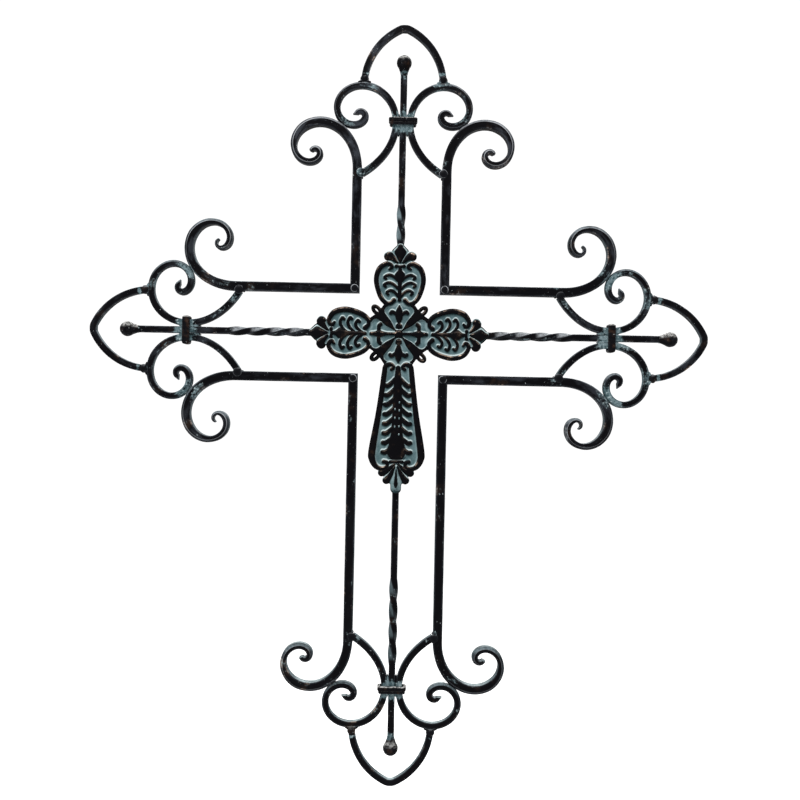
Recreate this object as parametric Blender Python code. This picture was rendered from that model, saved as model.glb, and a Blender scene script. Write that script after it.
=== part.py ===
"""Wrought iron wall cross: mitred rails with curled ends, scrolls, arches, twisted rods
and a cast medallion at the crossing.

Metres, +Z up, +X to the right, the front faces -Y. The cross hangs on a nail under the
top arch, and the origin is on the flat seat there, in the middle plane of the bars.

Each arm is drawn in its own plane: p is the distance to the right of the arm's axis, and
q is the distance outward from the crossing. An empty at the crossing turns the arm.
"""
import math

import bpy
import numpy as np
from mathutils.geometry import delaunay_2d_cdt

# Bars
RAIL_BAR = 0.011
SCROLL_BAR = 0.008
ARCH_BAR = 0.008
ROD_BAR = 0.008
WELD_GAP = 0.0004

# Rails: two to an arm, mitred to the next arm's rails, straight and then curled outward
RAIL_OFFSET = 0.053
RAIL_STRAIGHT = 0.1933
LONG_ARM_EXTRA = 0.169
RAIL_CURL = ((0, 0.0785), (45, 0.0452), (90, 0.0352), (180, 0.0233), (270, 0.0159),
             (360, 0.0067), (450, 0.0054), (515, 0.0043))
RAIL_CURL_BAR = 0.0072
RAIL_THINS_FROM = 0.098
RAIL_THINS_TO = 0.130
RAIL_TIP = 0.0048

# Scrolls: from the rail's inner face to the collar, and round into a curl
SCROLL_HEADING = 147.3
SCROLL_CURL = ((0, 0.098), (40, 0.059), (85, 0.0437), (140, 0.0364), (230, 0.0222),
               (320, 0.0193), (410, 0.0066), (563, 0.0052))
SCROLL_TIP = 0.0040
SCROLL_TIP_LENGTH = 0.014

# Search for the scroll's place against the rail's curl: its range in rail bars, and its halvings
SEARCH_DOWN = 4
SEARCH_UP = 12
HALVINGS = 40

# Arches: a pointed arch from scroll to scroll, with a small flat at its point
ARCH_FOOT_INSET = 0.0052
ARCH_HEADING = 92.3
ARCH_RADIUS = 0.0732
ARCH_POINT_RADIUS = 0.006
ARCH_FLAT = 0.004

# Rods, and where each is twisted: from, to, and the left-handed quarter turns between
ROD_TWISTS = {"top": (0.1055, 0.1530, 2),
              "left": (0.1100, 0.2020, 4),
              "right": (0.1090, 0.2060, 4),
              "bottom": (0.2890, 0.3910, 4)}

# Balls on the rods' ends
BALL_BEYOND_COLLAR = 0.070
BALL_RADIUS = 0.0085
NECK_RADIUS = 0.0045
NECK_LENGTH = 0.0052

# Collars round the two scrolls and the rod
COLLAR_WALL = 0.0034
COLLAR_HEIGHT = 0.009
COLLAR_CLEARANCE = 0.0005
COLLAR_ROUNDING = 0.0030

# Facets: how far a bar's rings may cut a curve short, and the widest turn between two
CHORD_ERROR = 0.0004
WIDEST_TURN = 26.0
TWIST_STEP = 18.0
ROD_CORNERS = (225.0, 315.0, 45.0, 135.0)
COLLAR_CORNER_POINTS = 4
BALL_SIDES = 10
BALL_RINGS = 5

# Medallion, in millimetres in its own plane, s across an arm and r along it
MM = 0.001
PLATE = 4.0
MEDALLION_GAP = 0.3
MERGE = 0.5
RIM_HALF = 2.9
CURL_SHARE = 0.75
RIM_RELIEF = 3.2
LEAF_RELIEF = 2.3
STEM_RELIEF = 3.0
LOBE_RELIEF = 3.0
WEDGE_RELIEF = 2.8
BEAD_RELIEF = 2.6

SHORT_RIM = ((11.9, 76.2), (9.4, 78.6), (11.3, 81.3), (16.6, 82.0), (24.6, 75.6),
             (27.7, 61.9), (23.0, 45.0), (16.5, 36.6), (10.5, 36.0), (6.1, 40.4))
SHORT_STEM = ((0.0, 42.0, 1.4), (0.0, 60.0, 2.2), (0.0, 70.5, 5.2), (0.0, 78.5, 1.8))
SHORT_LEAF_PAIRS = 3
SHORT_LEAF_FIRST = 43.4
SHORT_LEAF_PITCH = 9.1
SHORT_LEAF_RISE = 7.6
SHORT_LEAF_DROP = 1.8
SHORT_LEAF_REACH = (14.8, 18.2, 17.8)
LEAF_HALF = 1.7
LEAF_TAPER = (0.6, 1.0, 0.75)
TIP_LOBE = ((0.0, 84.0, 0.6), (0.0, 97.5, 9.4), (0.0, 103.8, 1.8))
SIDE_LOBE = ((1.8, 82.7, 1.4), (7.1, 89.6, 3.6), (13.8, 91.8, 4.9))
SHORT_BEAD = ((-3.2, 79.2, 1.5), (3.2, 79.2, 1.5))
TIP_PLATE = ((-15.0, 73.0), (15.0, 73.0), (17.0, 80.0), (12.5, 93.0), (0.0, 98.0),
             (-12.5, 93.0), (-17.0, 80.0))

LONG_RIM = ((7.0, 42.2), (4.9, 38.8), (9.4, 35.6), (14.6, 38.4), (16.3, 47.0),
            (18.6, 67.0), (22.4, 96.0), (29.4, 137.0), (28.9, 148.5), (23.8, 157.0),
            (16.7, 159.3), (10.4, 156.0), (11.2, 151.2), (15.4, 150.6))
LONG_STEM = ((0.0, 41.0, 1.8), (0.0, 72.0, 3.2), (0.0, 108.0, 4.6), (0.0, 131.0, 7.4),
             (0.0, 141.0, 9.4))
LONG_LEAF_PAIRS = 8
LONG_LEAF_FIRST = 55.0
LONG_LEAF_PITCH = 10.9
LONG_LEAF_ROOT = 2.6
LONG_LEAF_DROP = 8.6
LONG_LEAF_REACH = 13.4
LONG_LEAF_SPREAD = 0.62
LONG_BAR = ((-8.6, 151.0, 1.6), (8.6, 151.0, 1.6))
LONG_BEADS = ((-5.4, 146.2), (0.0, 145.6), (5.4, 146.2))
LONG_BEAD_HALF = 2.4
PALM_LOBES = (((2.4, 154.6, 1.6), (17.0, 166.0, 4.4)),
              ((1.6, 156.0, 1.4), (10.6, 174.4, 4.4)),
              ((0.0, 156.0, 1.2), (0.0, 173.0, 5.4), (0.0, 183.6, 3.6)))
PALM_PLATE = ((-17.0, 148.0), (17.0, 148.0), (16.0, 166.0), (9.5, 175.0), (0.0, 182.0),
              (-9.5, 175.0), (-16.0, 166.0))

CENTRE_WAIST = (17.2, 35.5)
CENTRE_NECK = (8.0, 43.0)
CENTRE_CORNER = 24.6
WEDGE = ((5.2, 5.2, 0.8), (24.0, 24.0, 4.2))
LILY = ((0.0, 13.6, 0.9), (0.0, 24.0, 3.9), (0.0, 32.4, 1.2))
LILY_PETAL = ((1.2, 20.5, 1.5), (6.4, 26.4, 1.9), (10.2, 24.6, 1.4))
OGEE = ((17.6, 27.0, 1.2), (9.5, 32.8, 1.1), (1.0, 37.6, 1.3))
SMALL_BALL = ((0.0, 9.0, 3.2),)
BOSS_HALF = 4.6
LOOP_CENTRE = (28.0, 27.2)
LOOP_LONG = 5.2
LOOP_SHORT = 2.7
LOOP_HALF = 1.45
LOOP_SIDES = 8
BEAD_SIDES = 6
CAP_TURNS = (-90.0, -30.0, 30.0, 90.0)
SMALL_CAP_TURNS = (-90.0, 0.0, 90.0)
SMALL_END = 2.0

IRON = (0.016, 0.015, 0.017, 1.0)
RUBBED_IRON = (0.060, 0.040, 0.030, 1.0)
VERDIGRIS = (0.150, 0.250, 0.270, 1.0)


def heading_vector(degrees):
    angle = math.radians(degrees)
    return np.array([math.cos(angle), math.sin(angle)])


def turn_step(radius):
    """Turn between two rings that keeps the chord near an arc of this radius."""
    return min(2 * math.degrees(math.acos(1.0 - CHORD_ERROR / radius)), WIDEST_TURN)


def turn_steps(knots):
    """Turned angles at which a curl gets a ring: closer together where it is wide."""
    last = knots[-1][0]
    angles, radii = zip(*knots)
    turns = [0.0]
    while turns[-1] < last:
        turns.append(turns[-1] + turn_step(np.interp(turns[-1], angles, radii)))
    return np.array(turns[:-1] + [last])


def curl(start, heading, knots, sign):
    """Points and headings along a curve whose radius follows its turned angle."""
    angles, radii = zip(*knots)
    fine = np.linspace(0.0, angles[-1], int(angles[-1]) * 2 + 1)
    middle = (fine[1:] + fine[:-1]) / 2
    length = np.interp(middle, angles, radii) * np.radians(np.diff(fine))
    direction = np.radians(heading + sign * middle)
    steps = np.stack([length * np.cos(direction), length * np.sin(direction)], 1)
    track = np.vstack([[0.0, 0.0], np.cumsum(steps, 0)]) + np.asarray(start)
    turns = turn_steps(knots)
    points = np.stack([np.interp(turns, fine, track[:, i]) for i in range(2)], 1)
    return points, heading + sign * turns


def along(points):
    """Distance along a line of points."""
    return np.concatenate([[0.0], np.cumsum(np.linalg.norm(np.diff(points, axis=0), axis=1))])


def segment_distance(points, line):
    """Least distance from each point to a line of segments."""
    a = line[:-1]
    ab = np.diff(line, axis=0)
    share = ((points[:, None] - a) * ab).sum(2) / (ab ** 2).sum(1)
    nearest = a + np.clip(share, 0.0, 1.0)[..., None] * ab
    return np.linalg.norm(points[:, None] - nearest, axis=2).min(1)


def clearance(line, other):
    """Least distance between two lines of segments that don't cross."""
    return min(segment_distance(line, other).min(), segment_distance(other, line).min())


def rail_line():
    """Centre line of a short arm's rail on the side where p is positive."""
    points, headings = curl((RAIL_OFFSET, RAIL_STRAIGHT), 90.0, RAIL_CURL, -1)
    return points, headings


def scroll_line():
    """Centre line of a scroll: beside the rod, against the rail's curl, from its face."""
    points, headings = curl((0.0, 0.0), SCROLL_HEADING, SCROLL_CURL, -1)
    beside = (ROD_BAR + SCROLL_BAR) / 2 + WELD_GAP
    opening = headings > 0.0
    points[:, 0] += beside - points[opening, 0].min()
    rail, _ = rail_line()
    apart = (RAIL_BAR + SCROLL_BAR) / 2 + WELD_GAP
    low, high = RAIL_STRAIGHT - SEARCH_DOWN * RAIL_BAR, RAIL_STRAIGHT + SEARCH_UP * RAIL_BAR
    far = headings < 0.0
    for _ in range(HALVINGS):
        shift = (low + high) / 2
        moved = points[far] + (0.0, shift)
        below = moved[:, 1].min() < rail[:, 1].min()
        if below or clearance(moved, rail) < apart:
            low = shift
        else:
            high = shift
    points = points + (0.0, high)
    face = RAIL_OFFSET - RAIL_BAR / 2 - WELD_GAP
    lead = heading_vector(SCROLL_HEADING)
    start = points[0] + lead * (face - points[0, 0]) / lead[0]
    return np.vstack([start, points]), np.concatenate([[SCROLL_HEADING], headings])


def half_widths(lengths, full, tip, tip_length):
    """Half of a bar's width, drawn out towards the tip at the end of its length."""
    left = lengths[-1] - lengths
    return np.interp(left, [0.0, tip_length], [tip / 2, full / 2])


def bar_rings(points, headings, halves, depth, start_cut=None):
    """Square rings along a flat curve, mitred at each bend, as p, y, q."""
    rings = []
    for i, (point, heading, half) in enumerate(zip(points, headings, halves)):
        across = heading_vector(heading - 90.0)
        stretch = 1.0
        if 0 < i < len(points) - 1:
            before = points[i] - points[i - 1]
            after = points[i + 1] - points[i]
            before /= np.linalg.norm(before)
            after /= np.linalg.norm(after)
            both = before + after
            across = np.array([both[1], -both[0]]) / np.linalg.norm(both)
            stretch = 1.0 / max(np.dot(both / np.linalg.norm(both), after), 0.5)
        right = point + across * half * stretch
        left = point - across * half * stretch
        if i == 0 and start_cut is not None:
            right, left = start_cut(right, left, heading_vector(heading))
        rings.append([(*left, -depth), (*right, -depth), (*right, depth), (*left, depth)])
    return np.array(rings)[:, :, [0, 2, 1]]


def tube(rings):
    """Vertices and faces of a closed bar through equal rings."""
    count, sides = rings.shape[:2]
    faces = []
    for i in range(count - 1):
        for j in range(sides):
            k = (j + 1) % sides
            faces.append((i * sides + j, i * sides + k, (i + 1) * sides + k, (i + 1) * sides + j))
    faces.append(tuple(range(sides - 1, -1, -1)))
    faces.append(tuple((count - 1) * sides + j for j in range(sides)))
    return rings.reshape(-1, 3), faces


def rail_shape(extra):
    """A rail from its mitred corner to the tip of its curl."""
    points, headings = rail_line()
    points = points + (0.0, extra)
    lengths = along(points)
    halves = np.interp(lengths, [RAIL_THINS_FROM, RAIL_THINS_TO],
                       [RAIL_BAR / 2, RAIL_CURL_BAR / 2])
    halves[-1] = RAIL_TIP / 2
    corner = np.array([[RAIL_OFFSET, RAIL_OFFSET]])
    points = np.vstack([corner, points])
    headings = np.concatenate([[90.0], headings])
    halves = np.concatenate([[RAIL_BAR / 2], halves])
    mitre = WELD_GAP / math.sqrt(2.0)

    def cut(right, left, ahead):
        return (right + ahead * (right[0] - right[1] + mitre),
                left + ahead * (left[0] - left[1] + mitre))

    return tube(bar_rings(points, headings, halves, RAIL_BAR / 2, cut))


def scroll_shape(extra):
    """A scroll from the rail's inner face to the tip of its curl."""
    points, headings = scroll_line()
    points = points + (0.0, extra)
    lengths = along(points)
    halves = half_widths(lengths, SCROLL_BAR, SCROLL_TIP, SCROLL_TIP_LENGTH)
    face = RAIL_OFFSET - RAIL_BAR / 2 - WELD_GAP

    def cut(right, left, ahead):
        return (right + ahead * (face - right[0]) / ahead[0],
                left + ahead * (face - left[0]) / ahead[0])

    return tube(bar_rings(points, headings, halves, SCROLL_BAR / 2, cut))


def collar_q():
    """Height of the collar on a short arm: where the scrolls come closest to the rod."""
    points, headings = scroll_line()
    opening = headings > 0.0
    return points[opening][points[opening, 0].argmin(), 1]


def arch_line():
    """Centre line of an arch from its right foot over the point to its left foot."""
    scroll, _ = scroll_line()
    crest = scroll[scroll[:, 1].argmax()]
    foot = np.array([crest[0] - ARCH_FOOT_INSET, crest[1] + SCROLL_BAR / 2 + WELD_GAP])
    first = math.radians(ARCH_HEADING)
    reach = ARCH_RADIUS * math.sin(first) + ARCH_FLAT / 2 - foot[0]
    share = min(reach / (ARCH_RADIUS - ARCH_POINT_RADIUS), 0.98)
    last = 180.0 - math.degrees(math.asin(share))
    steps = math.ceil((last - ARCH_HEADING) / turn_step(ARCH_RADIUS))
    headings = np.linspace(ARCH_HEADING, last, steps + 1)
    angle = np.radians(headings)
    side = foot + ARCH_RADIUS * np.stack([np.sin(angle) - math.sin(first),
                                          math.cos(first) - np.cos(angle)], 1)
    end = math.radians(last)
    point = side[-1] + ARCH_POINT_RADIUS * np.array([-math.sin(end), 1.0 + math.cos(end)])
    right = np.vstack([side, [(point[0], point[1])]])
    headings = np.append(headings, 180.0)
    left = right[::-1] * (-1.0, 1.0)
    return np.vstack([right, left]), np.concatenate([headings, 360.0 - headings[::-1]])


def arch_shape(extra):
    """An arch with level feet."""
    points, headings = arch_line()
    points = points + (0.0, extra)
    halves = np.full(len(points), ARCH_BAR / 2)
    rings = bar_rings(points, headings, halves, ARCH_BAR / 2)
    for ring in (rings[0], rings[-1]):
        ring[:, 2] = points[0, 1]
    return tube(rings)


def seat_height():
    """Height of the top arch's flat underside above the crossing."""
    points, _ = arch_line()
    return points[:, 1].max() - ARCH_BAR / 2


def ball_q():
    return collar_q() + BALL_BEYOND_COLLAR


def rod_shape(arm, extra):
    """A square rod from behind the medallion to the ball, twisted over one stretch."""
    upright = arm in ("top", "bottom")
    inner = WELD_GAP / 2 if upright else ROD_BAR / 2 + WELD_GAP
    outer = ball_q() + extra - BALL_RADIUS - NECK_LENGTH - WELD_GAP
    start, end, quarters = ROD_TWISTS[arm]
    steps = int(round(quarters * 90.0 / TWIST_STEP))
    heights = [inner] + list(np.linspace(start, end, steps + 1)) + [outer]
    turns = [0.0] + list(np.linspace(0.0, quarters * 90.0, steps + 1)) + [quarters * 90.0]
    rings = []
    for height, turn in zip(heights, turns):
        corners = [math.radians(corner - turn) for corner in ROD_CORNERS]
        reach = ROD_BAR / math.sqrt(2.0)
        rings.append([(reach * math.cos(c), reach * math.sin(c), height) for c in corners])
    return tube(np.array(rings))


def ball_shape(extra):
    """A turned ball with a short flared neck towards the rod."""
    centre = ball_q() + extra
    profile = [(NECK_RADIUS, centre - BALL_RADIUS - NECK_LENGTH),
               (NECK_RADIUS, centre - BALL_RADIUS - NECK_LENGTH / 4)]
    for a in np.linspace(-math.pi / 4, math.pi * 0.42, BALL_RINGS):
        profile.append((BALL_RADIUS * math.cos(a), centre + BALL_RADIUS * math.sin(a)))
    rings = []
    for radius, height in profile:
        turns = [2 * math.pi * k / BALL_SIDES for k in range(BALL_SIDES)]
        rings.append([(radius * math.cos(t), radius * math.sin(t), height) for t in turns])
    return tube(np.array(rings))


def rounded_rectangle(half_x, half_y, radius, corner_points):
    """Points round a rectangle with rounded corners, anticlockwise."""
    points = []
    for corner in range(4):
        sign_x = 1 if corner in (0, 3) else -1
        sign_y = 1 if corner in (0, 1) else -1
        for step in range(corner_points):
            a = math.radians(90.0 * corner + 90.0 * step / (corner_points - 1))
            points.append((sign_x * (half_x - radius) + radius * math.cos(a),
                           sign_y * (half_y - radius) + radius * math.sin(a)))
    return points


def collar_shape(extra):
    """A band round the rod and the two scrolls beside it."""
    points, headings = scroll_line()
    opening = points[headings > 0.0]
    edges = collar_q() + COLLAR_HEIGHT / 2 * np.array([-1.0, 1.0])
    bulge = np.interp(edges, opening[:, 1], opening[:, 0]).max()
    inside_p = bulge + SCROLL_BAR / 2 + COLLAR_CLEARANCE
    middle = collar_q() + extra
    inside_y = max(ROD_BAR, SCROLL_BAR) / 2 + COLLAR_CLEARANCE
    outer = rounded_rectangle(inside_p + COLLAR_WALL, inside_y + COLLAR_WALL,
                              COLLAR_ROUNDING, COLLAR_CORNER_POINTS)
    inner = rounded_rectangle(inside_p, inside_y, COLLAR_CLEARANCE / 2, COLLAR_CORNER_POINTS)
    low, high = middle - COLLAR_HEIGHT / 2, middle + COLLAR_HEIGHT / 2
    loops = [[(x, y, low) for x, y in inner], [(x, y, low) for x, y in outer],
             [(x, y, high) for x, y in outer], [(x, y, high) for x, y in inner]]
    count = len(outer)
    faces = []
    for i in range(4):
        n = (i + 1) % 4
        for j in range(count):
            k = (j + 1) % count
            faces.append((i * count + j, i * count + k, n * count + k, n * count + j))
    return np.array(loops).reshape(-1, 3), faces


def stroke(points, relief, half=None):
    """A raised ridge along points of s, r and half width."""
    pts = np.array(points, float)
    if half is not None:
        pts = np.column_stack([pts[:, :2], np.full(len(pts), half)])
    return {"line": pts[:, :2], "half": pts[:, 2], "relief": relief}


def mirrored(item):
    return {**item, "line": item["line"] * (-1.0, 1.0)}


def turned(item, degrees):
    a = math.radians(degrees)
    s, r = item["line"].T
    line = np.stack([s * math.cos(a) + r * math.sin(a), r * math.cos(a) - s * math.sin(a)], 1)
    return {**item, "line": line}


def leaf(root, crown, tip, relief):
    """A curled leaf from the stem over its crown to its tip."""
    halves = LEAF_HALF * np.array(LEAF_TAPER)
    return stroke(np.column_stack([[root, crown, tip], halves]), relief)


def short_arm():
    """Strokes and flat plate of a short arm: cartouche, leaves and three lobed tip."""
    rim = stroke(SHORT_RIM, RIM_RELIEF, RIM_HALF)
    rim["half"][:2] *= CURL_SHARE
    rim["half"][-1:] *= CURL_SHARE
    pairs = [rim, stroke(SIDE_LOBE, LOBE_RELIEF)]
    for i in range(SHORT_LEAF_PAIRS):
        root = SHORT_LEAF_FIRST + i * SHORT_LEAF_PITCH
        reach = SHORT_LEAF_REACH[i]
        crown = (reach * 0.66, root + SHORT_LEAF_RISE)
        tip = (reach, root + SHORT_LEAF_RISE - SHORT_LEAF_DROP)
        pairs.append(leaf((1.6, root), crown, tip, LEAF_RELIEF))
    strokes = pairs + [mirrored(item) for item in pairs]
    strokes.append(stroke(SHORT_STEM, STEM_RELIEF))
    strokes.append(stroke(TIP_LOBE, LOBE_RELIEF))
    strokes.append(stroke(SHORT_BEAD, BEAD_RELIEF))
    right = rim["line"]
    plate = np.vstack([right, right[::-1] * (-1.0, 1.0)])
    return strokes, [plate, np.array(TIP_PLATE)]


def long_arm():
    """Strokes and flat plate of the long arm: fern, moulding and palmette."""
    rim = stroke(LONG_RIM, RIM_RELIEF, RIM_HALF)
    rim["half"][:3] *= CURL_SHARE
    rim["half"][-3:] *= CURL_SHARE
    pairs = [rim]
    for i in range(LONG_LEAF_PAIRS):
        root = LONG_LEAF_FIRST + i * LONG_LEAF_PITCH
        reach = LONG_LEAF_REACH + i * LONG_LEAF_SPREAD
        crown = (reach * 0.62, root + LONG_LEAF_DROP * 0.86)
        tip = (reach, root + LONG_LEAF_DROP)
        pairs.append(leaf((LONG_LEAF_ROOT, root), crown, tip, LEAF_RELIEF))
    pairs += [stroke(lobe, LOBE_RELIEF) for lobe in PALM_LOBES[:2]]
    strokes = pairs + [mirrored(item) for item in pairs]
    strokes.append(stroke(LONG_STEM, STEM_RELIEF))
    strokes.append(stroke(LONG_BAR, BEAD_RELIEF))
    strokes += [stroke([bead], BEAD_RELIEF, LONG_BEAD_HALF) for bead in LONG_BEADS]
    strokes.append(stroke(PALM_LOBES[2], LOBE_RELIEF))
    right = rim["line"]
    plate = np.vstack([right, right[::-1] * (-1.0, 1.0)])
    return strokes, [plate, np.array(PALM_PLATE)]


def centre():
    """Strokes and plate of the crossing: four panels with lilies, wedges and loops."""
    quarter = [stroke(LILY, STEM_RELIEF), stroke(LILY_PETAL, LEAF_RELIEF),
               mirrored(stroke(LILY_PETAL, LEAF_RELIEF)), stroke(OGEE, LEAF_RELIEF),
               mirrored(stroke(OGEE, LEAF_RELIEF)), stroke(SMALL_BALL, BEAD_RELIEF),
               stroke(WEDGE, WEDGE_RELIEF)]
    ring = []
    diagonal = math.atan2(LOOP_CENTRE[1], LOOP_CENTRE[0])
    for k in range(LOOP_SIDES + 1):
        a = 2 * math.pi * k / LOOP_SIDES
        u, v = LOOP_LONG * math.cos(a), LOOP_SHORT * math.sin(a)
        ring.append((LOOP_CENTRE[0] + u * math.cos(diagonal) - v * math.sin(diagonal),
                     LOOP_CENTRE[1] + u * math.sin(diagonal) + v * math.cos(diagonal)))
    quarter.append(stroke(ring, WEDGE_RELIEF, LOOP_HALF))
    strokes = [turned(item, 90.0 * k) for k in range(4) for item in quarter]
    strokes.append(stroke([(0.0, 0.0)], STEM_RELIEF, BOSS_HALF))
    outline = [CENTRE_NECK, CENTRE_WAIST, (CENTRE_CORNER, CENTRE_CORNER),
               CENTRE_WAIST[::-1], CENTRE_NECK[::-1]]
    outline += [(r, -s) for s, r in outline]
    outline += [(-s, -r) for s, r in outline]
    return strokes, [np.array(outline)]


def stroke_cells(item):
    """Flat cells that make up a stroke's footprint, from foot to crest to foot."""
    line, half = item["line"], item["half"]
    if len(line) == 1:
        turns = 2 * np.pi * np.arange(BEAD_SIDES) / BEAD_SIDES
        circle = line[0] + half[0] * np.stack([np.cos(turns), np.sin(turns)], 1)
        return [np.array([line[0], circle[k], circle[(k + 1) % len(circle)]])
                for k in range(len(circle))]
    ahead = np.gradient(line, axis=0)
    if np.allclose(line[0], line[-1]):
        ahead[0] = ahead[-1] = line[1] - line[-2]
    ahead /= np.linalg.norm(ahead, axis=1)[:, None]
    across = np.stack([ahead[:, 1], -ahead[:, 0]], 1) * half[:, None]
    cells = []
    for i in range(len(line) - 1):
        for side in (1, -1):
            cells.append(np.array([line[i], line[i + 1], line[i + 1] + side * across[i + 1],
                                   line[i] + side * across[i]]))
    if np.allclose(line[0], line[-1]):
        return cells
    for end, sign in ((0, -1.0), (-1, 1.0)):
        cap = []
        for turn in (SMALL_CAP_TURNS if half[end] < SMALL_END else CAP_TURNS):
            a = math.radians(turn)
            cap.append(line[end] + sign * ahead[end] * half[end] * math.cos(a)
                       + across[end] * math.sin(a))
        cells += [np.array([line[end], cap[k], cap[k + 1]]) for k in range(len(cap) - 1)]
    return cells


def relief_height(points, strokes):
    """Height of the relief over the plate: the highest ridge at each point."""
    height = np.zeros(len(points))
    for item in strokes:
        line, half = item["line"], item["half"]
        if len(line) == 1:
            line = np.vstack([line, line + 1e-6])
            half = np.repeat(half, 2)
        a = line[:-1]
        ab = np.diff(line, axis=0)
        share = ((points[:, None] - a) * ab).sum(2) / (ab ** 2).sum(1)
        share = np.clip(share, 0.0, 1.0)
        away = np.linalg.norm(points[:, None] - a - share[..., None] * ab, axis=2)
        width = half[:-1] + share * np.diff(half)
        ridge = item["relief"] * np.clip(1.0 - away / width, 0.0, 1.0)
        height = np.maximum(height, ridge.max(1))
    return height


def inside(points, starts, ends):
    """Which points lie inside closed loops of edges, by counting crossings."""
    x, y = points.T
    hit = np.zeros(len(points), bool)
    for (ax, ay), (bx, by) in zip(starts, ends):
        spans = (ay > y) != (by > y)
        if spans.any():
            hit ^= spans & (x < ax + (y - ay) * (bx - ax) / (by - ay if by != ay else 1.0))
    return hit


def covered(points, cells):
    """Which points lie in at least one cell."""
    keep = np.zeros(len(points), bool)
    for cell in cells:
        near = np.all((points >= cell.min(0)) & (points <= cell.max(0)), axis=1) & ~keep
        index = np.nonzero(near)[0]
        keep[index[inside(points[index], cell, np.roll(cell, -1, axis=0))]] = True
    return keep


def fill_back(points, edges):
    """Triangles inside closed loops of edges, with no points between them."""
    used = sorted({v for edge in edges for v in edge})
    place = {v: i for i, v in enumerate(used)}
    flat = delaunay_2d_cdt([tuple(points[v]) for v in used],
                           [(place[a], place[b]) for a, b in edges], [], 0, MERGE / 100)
    triangles = np.array([[used[flat[3][v][0]] for v in face] for face in flat[2]])
    starts, ends = (points[[edge[k] for edge in edges]] for k in (0, 1))
    keep = inside(points[triangles].mean(1), starts, ends)
    return [tuple(int(v) for v in triangle) for triangle in triangles[keep]]


def medallion_shape():
    """The casting: a triangulated relief over a flat back."""
    strokes, plates = centre()
    for degrees in (0.0, 90.0, -90.0):
        more, flat = short_arm()
        strokes += [turned(item, degrees) for item in more]
        plates += [turned({"line": plate}, degrees)["line"] for plate in flat]
    more, flat = long_arm()
    strokes += [turned(item, 180.0) for item in more]
    plates += [turned({"line": plate}, 180.0)["line"] for plate in flat]
    cells = plates + [cell for item in strokes for cell in stroke_cells(item)]
    coords = []
    edges = []
    for cell in cells:
        first = len(coords)
        coords += [tuple(point) for point in cell]
        edges += [(first + k, first + (k + 1) % len(cell)) for k in range(len(cell))]
    flat = delaunay_2d_cdt(coords, edges, [], 0, MERGE)
    points = np.array([tuple(v) for v in flat[0]])
    triangles = np.array(flat[2])
    triangles = triangles[covered(points[triangles].mean(1), cells)]
    half_edges = {(t[k], t[k - 2]) for t in triangles.tolist() for k in range(3)}
    border = [edge for edge in sorted(half_edges) if edge[::-1] not in half_edges]
    height = PLATE + relief_height(points, strokes)
    back = -(ROD_BAR / 2 + MEDALLION_GAP * MM)
    count = len(points)
    verts = [(x * MM, back - h * MM, z * MM) for (x, z), h in zip(points, height)]
    verts += [(x * MM, back, z * MM) for x, z in points]
    faces = [tuple(triangle) for triangle in triangles.tolist()]
    faces += [tuple(count + v for v in reversed(t)) for t in fill_back(points, border)]
    faces += [(b, a, count + a, count + b) for a, b in border]
    used = sorted({v for face in faces for v in face})
    place = {v: i for i, v in enumerate(used)}
    return [verts[v] for v in used], [tuple(place[v] for v in face) for face in faces]


def material(name, colour, roughness, metallic):
    made = bpy.data.materials.new(name)
    made.use_nodes = True
    shader = made.node_tree.nodes["Principled BSDF"]
    shader.inputs["Base Color"].default_value = colour
    shader.inputs["Roughness"].default_value = roughness
    shader.inputs["Metallic"].default_value = metallic
    return made


def add_piece(name, shape, side, parent, look):
    """An object from vertices and faces, mirrored across the arm's axis if side is -1."""
    verts, faces = shape
    verts = [(side * x, y, z) for x, y, z in verts]
    if side < 0:
        faces = [tuple(reversed(face)) for face in faces]
    mesh = bpy.data.meshes.new(name)
    mesh.from_pydata(verts, [], faces)
    mesh.validate()
    mesh.materials.append(look)
    piece = bpy.data.objects.new(name, mesh)
    piece.parent = parent
    bpy.context.collection.objects.link(piece)
    return piece


def add_empty(name, height, degrees):
    empty = bpy.data.objects.new(name, None)
    empty.location = (0.0, 0.0, height)
    empty.rotation_euler = (0.0, math.radians(degrees), 0.0)
    bpy.context.collection.objects.link(empty)
    return empty


def build():
    for old in list(bpy.data.objects):
        bpy.data.objects.remove(old, do_unlink=True)
    iron = material("iron", IRON, 0.50, 0.85)
    rubbed = material("rubbed_iron", RUBBED_IRON, 0.45, 0.85)
    cast = material("verdigris_casting", VERDIGRIS, 0.65, 0.35)
    crossing = -seat_height()
    arms = {"top": (0.0, 0.0, ("right", "left")),
            "right": (90.0, 0.0, ("lower", "upper")),
            "bottom": (180.0, LONG_ARM_EXTRA, ("left", "right")),
            "left": (-90.0, 0.0, ("upper", "lower"))}
    for arm, (degrees, extra, sides) in arms.items():
        parent = add_empty("arm_" + arm, crossing, degrees)
        for name, side in zip(sides, (1, -1)):
            add_piece(f"rail_{arm}_{name}", rail_shape(extra), side, parent, iron)
            add_piece(f"scroll_{arm}_{name}", scroll_shape(extra), side, parent, iron)
        add_piece("arch_" + arm, arch_shape(extra), 1, parent, iron)
        add_piece("rod_" + arm, rod_shape(arm, extra), 1, parent, iron)
        add_piece("ball_" + arm, ball_shape(extra), 1, parent, rubbed)
        add_piece("collar_" + arm, collar_shape(extra), 1, parent, rubbed)
    middle = add_empty("crossing", crossing, 0.0)
    add_piece("medallion", medallion_shape(), 1, middle, cast)
    bpy.context.view_layer.update()


build()
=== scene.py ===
import math

import bmesh
import bpy
import numpy as np
from mathutils import Matrix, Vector
from mathutils.geometry import delaunay_2d_cdt


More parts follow.
